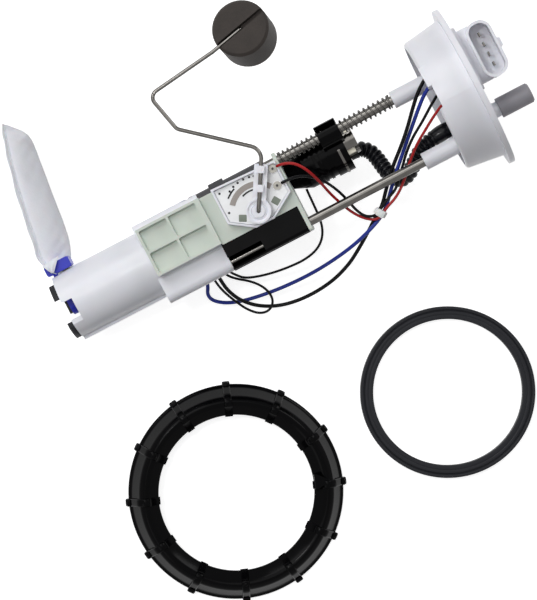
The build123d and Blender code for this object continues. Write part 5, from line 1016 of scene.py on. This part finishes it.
# %% Softened edges on the mouldings that stay
SOFT_EDGES = {
    "sender_bracket": 0.3, "sender_housing": 0.35, "wiper_arm": 0.3,
    "pump_holder": 0.3, "strainer_frame": 0.4, "rubber_feet": 0.5,
}
JOIN_WITHIN, FLAT_DEGREES, SHARP_DEGREES = 1e-6, 0.6, 38
for node_name, width_mm in SOFT_EDGES.items():
    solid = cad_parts[node_name]
    weld_edges = solid.modifiers.new("weld", "WELD")
    weld_edges.merge_threshold = JOIN_WITHIN
    flats = solid.modifiers.new("flats", "DECIMATE")
    flats.decimate_type, flats.angle_limit = "DISSOLVE", np.radians(FLAT_DEGREES)
    soften = solid.modifiers.new("softened", "BEVEL")
    soften.width, soften.segments = width_mm / 1000, 2
    soften.limit_method, soften.angle_limit = "ANGLE", np.radians(SHARP_DEGREES)
    soften.harden_normals = True
depsgraph = bpy.context.evaluated_depsgraph_get()
for node_name in SOFT_EDGES:
    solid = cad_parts[node_name]
    softened = solid.evaluated_get(depsgraph)
    print(node_name, len(solid.data.polygons), "->", len(softened.data.polygons), "faces")

# %% [markdown]
# A plain white sheet under the object, a broad soft key light from behind, a weaker one
# overhead, a small bright one for the sparkle on gloss and metal, and a fill from each side are
# how such parts are photographed for sale. The sheet and the world answer with plain white
# where the camera, a reflection or a clear material looks at them, and light the object at an
# ordinary level otherwise, so its shadow still falls on the sheet.

# %% Floor, lights and world
ROOM_LIGHT, PAPER_SHADE, PAPER_GLOW, SHEET_HALF = 0.13, 0.6, 0.82, 2
MIDDLE = (-0.15, -0.05, FLOOR)
LAMPS = {  # place in metres, width in metres, watts
    "key": ((-0.45, 1.0, 1.0), 0.8, 8.5),
    "overhead": ((-0.3, 0.3, 1.5), 0.8, 3.5),
    "spark": ((-0.5, 0.35, 1.3), 0.12, 2.4),
    "left side": ((-1.2, -0.3, 0.8), 0.6, 1.5),
    "right side": ((1.1, 0.35, 0.8), 0.5, 5),
}


def seen_directly(tree):
    """1 where the camera, a reflection or a clear material looks, and 0 for light that bounces."""
    rays = add(tree, "ShaderNodeLightPath")
    seen = rays.outputs["Is Camera Ray"]
    for kind in ("Is Glossy Ray", "Is Transmission Ray"):
        either = add(tree, "ShaderNodeMath", [(0, seen), (1, rays.outputs[kind])], operation="MAXIMUM")
        seen = either.outputs[0]
    return seen


bpy.context.scene.view_settings.view_transform = "Standard"
world = bpy.context.scene.world or bpy.data.worlds.new("studio")
bpy.context.scene.world = world
world.use_nodes = True
world.node_tree.nodes.clear()
level = add(
    world.node_tree, "ShaderNodeMapRange", [("Value", seen_directly(world.node_tree))],
    To_Min=ROOM_LIGHT, To_Max=1.0,
)
sky = add(world.node_tree, "ShaderNodeBackground", [("Strength", level.outputs[0])], Color=(1, 1, 1, 1))
add(world.node_tree, "ShaderNodeOutputWorld", [("Surface", sky.outputs[0])])

floor_mesh = bpy.data.meshes.new("sheet")
corners = [(x * SHEET_HALF, y * SHEET_HALF, FLOOR) for x, y in ((-1, -1), (1, -1), (1, 1), (-1, 1))]
floor_mesh.from_pydata(corners, [], [(0, 1, 2, 3)])
floor = in_scene("sheet", floor_mesh)
paper = bpy.data.materials.new("white paper")
paper.use_nodes = True
tree = paper.node_tree
tree.nodes.clear()
shade = add(tree, "ShaderNodeBsdfDiffuse", Color=(PAPER_SHADE, PAPER_SHADE, PAPER_SHADE, 1))
glow = add(tree, "ShaderNodeEmission", Color=(1, 1, 1, 1), Strength=PAPER_GLOW)
both = add(tree, "ShaderNodeAddShader", [(0, shade.outputs[0]), (1, glow.outputs[0])])
paper_seen = [(0, seen_directly(tree)), (1, shade.outputs[0]), (2, both.outputs[0])]
mixed = add(tree, "ShaderNodeMixShader", paper_seen)
add(tree, "ShaderNodeOutputMaterial", [("Surface", mixed.outputs[0])])
floor_mesh.materials.append(paper)


def softbox(name, at, aim, width, power):
    """A square area lamp at a place in metres, turned to face its aim."""
    lamp = bpy.data.lights.new(name, "AREA")
    lamp.size, lamp.energy = width, power
    holder = in_scene(name, lamp)
    holder.location = at
    line_of_aim = mathutils.Vector(aim) - mathutils.Vector(at)
    holder.rotation_euler = line_of_aim.to_track_quat("-Z", "Y").to_euler()


for name, (at, width, power) in LAMPS.items():
    softbox(name, at, MIDDLE, width, power)
print(len(LAMPS), "lamps and a sheet")
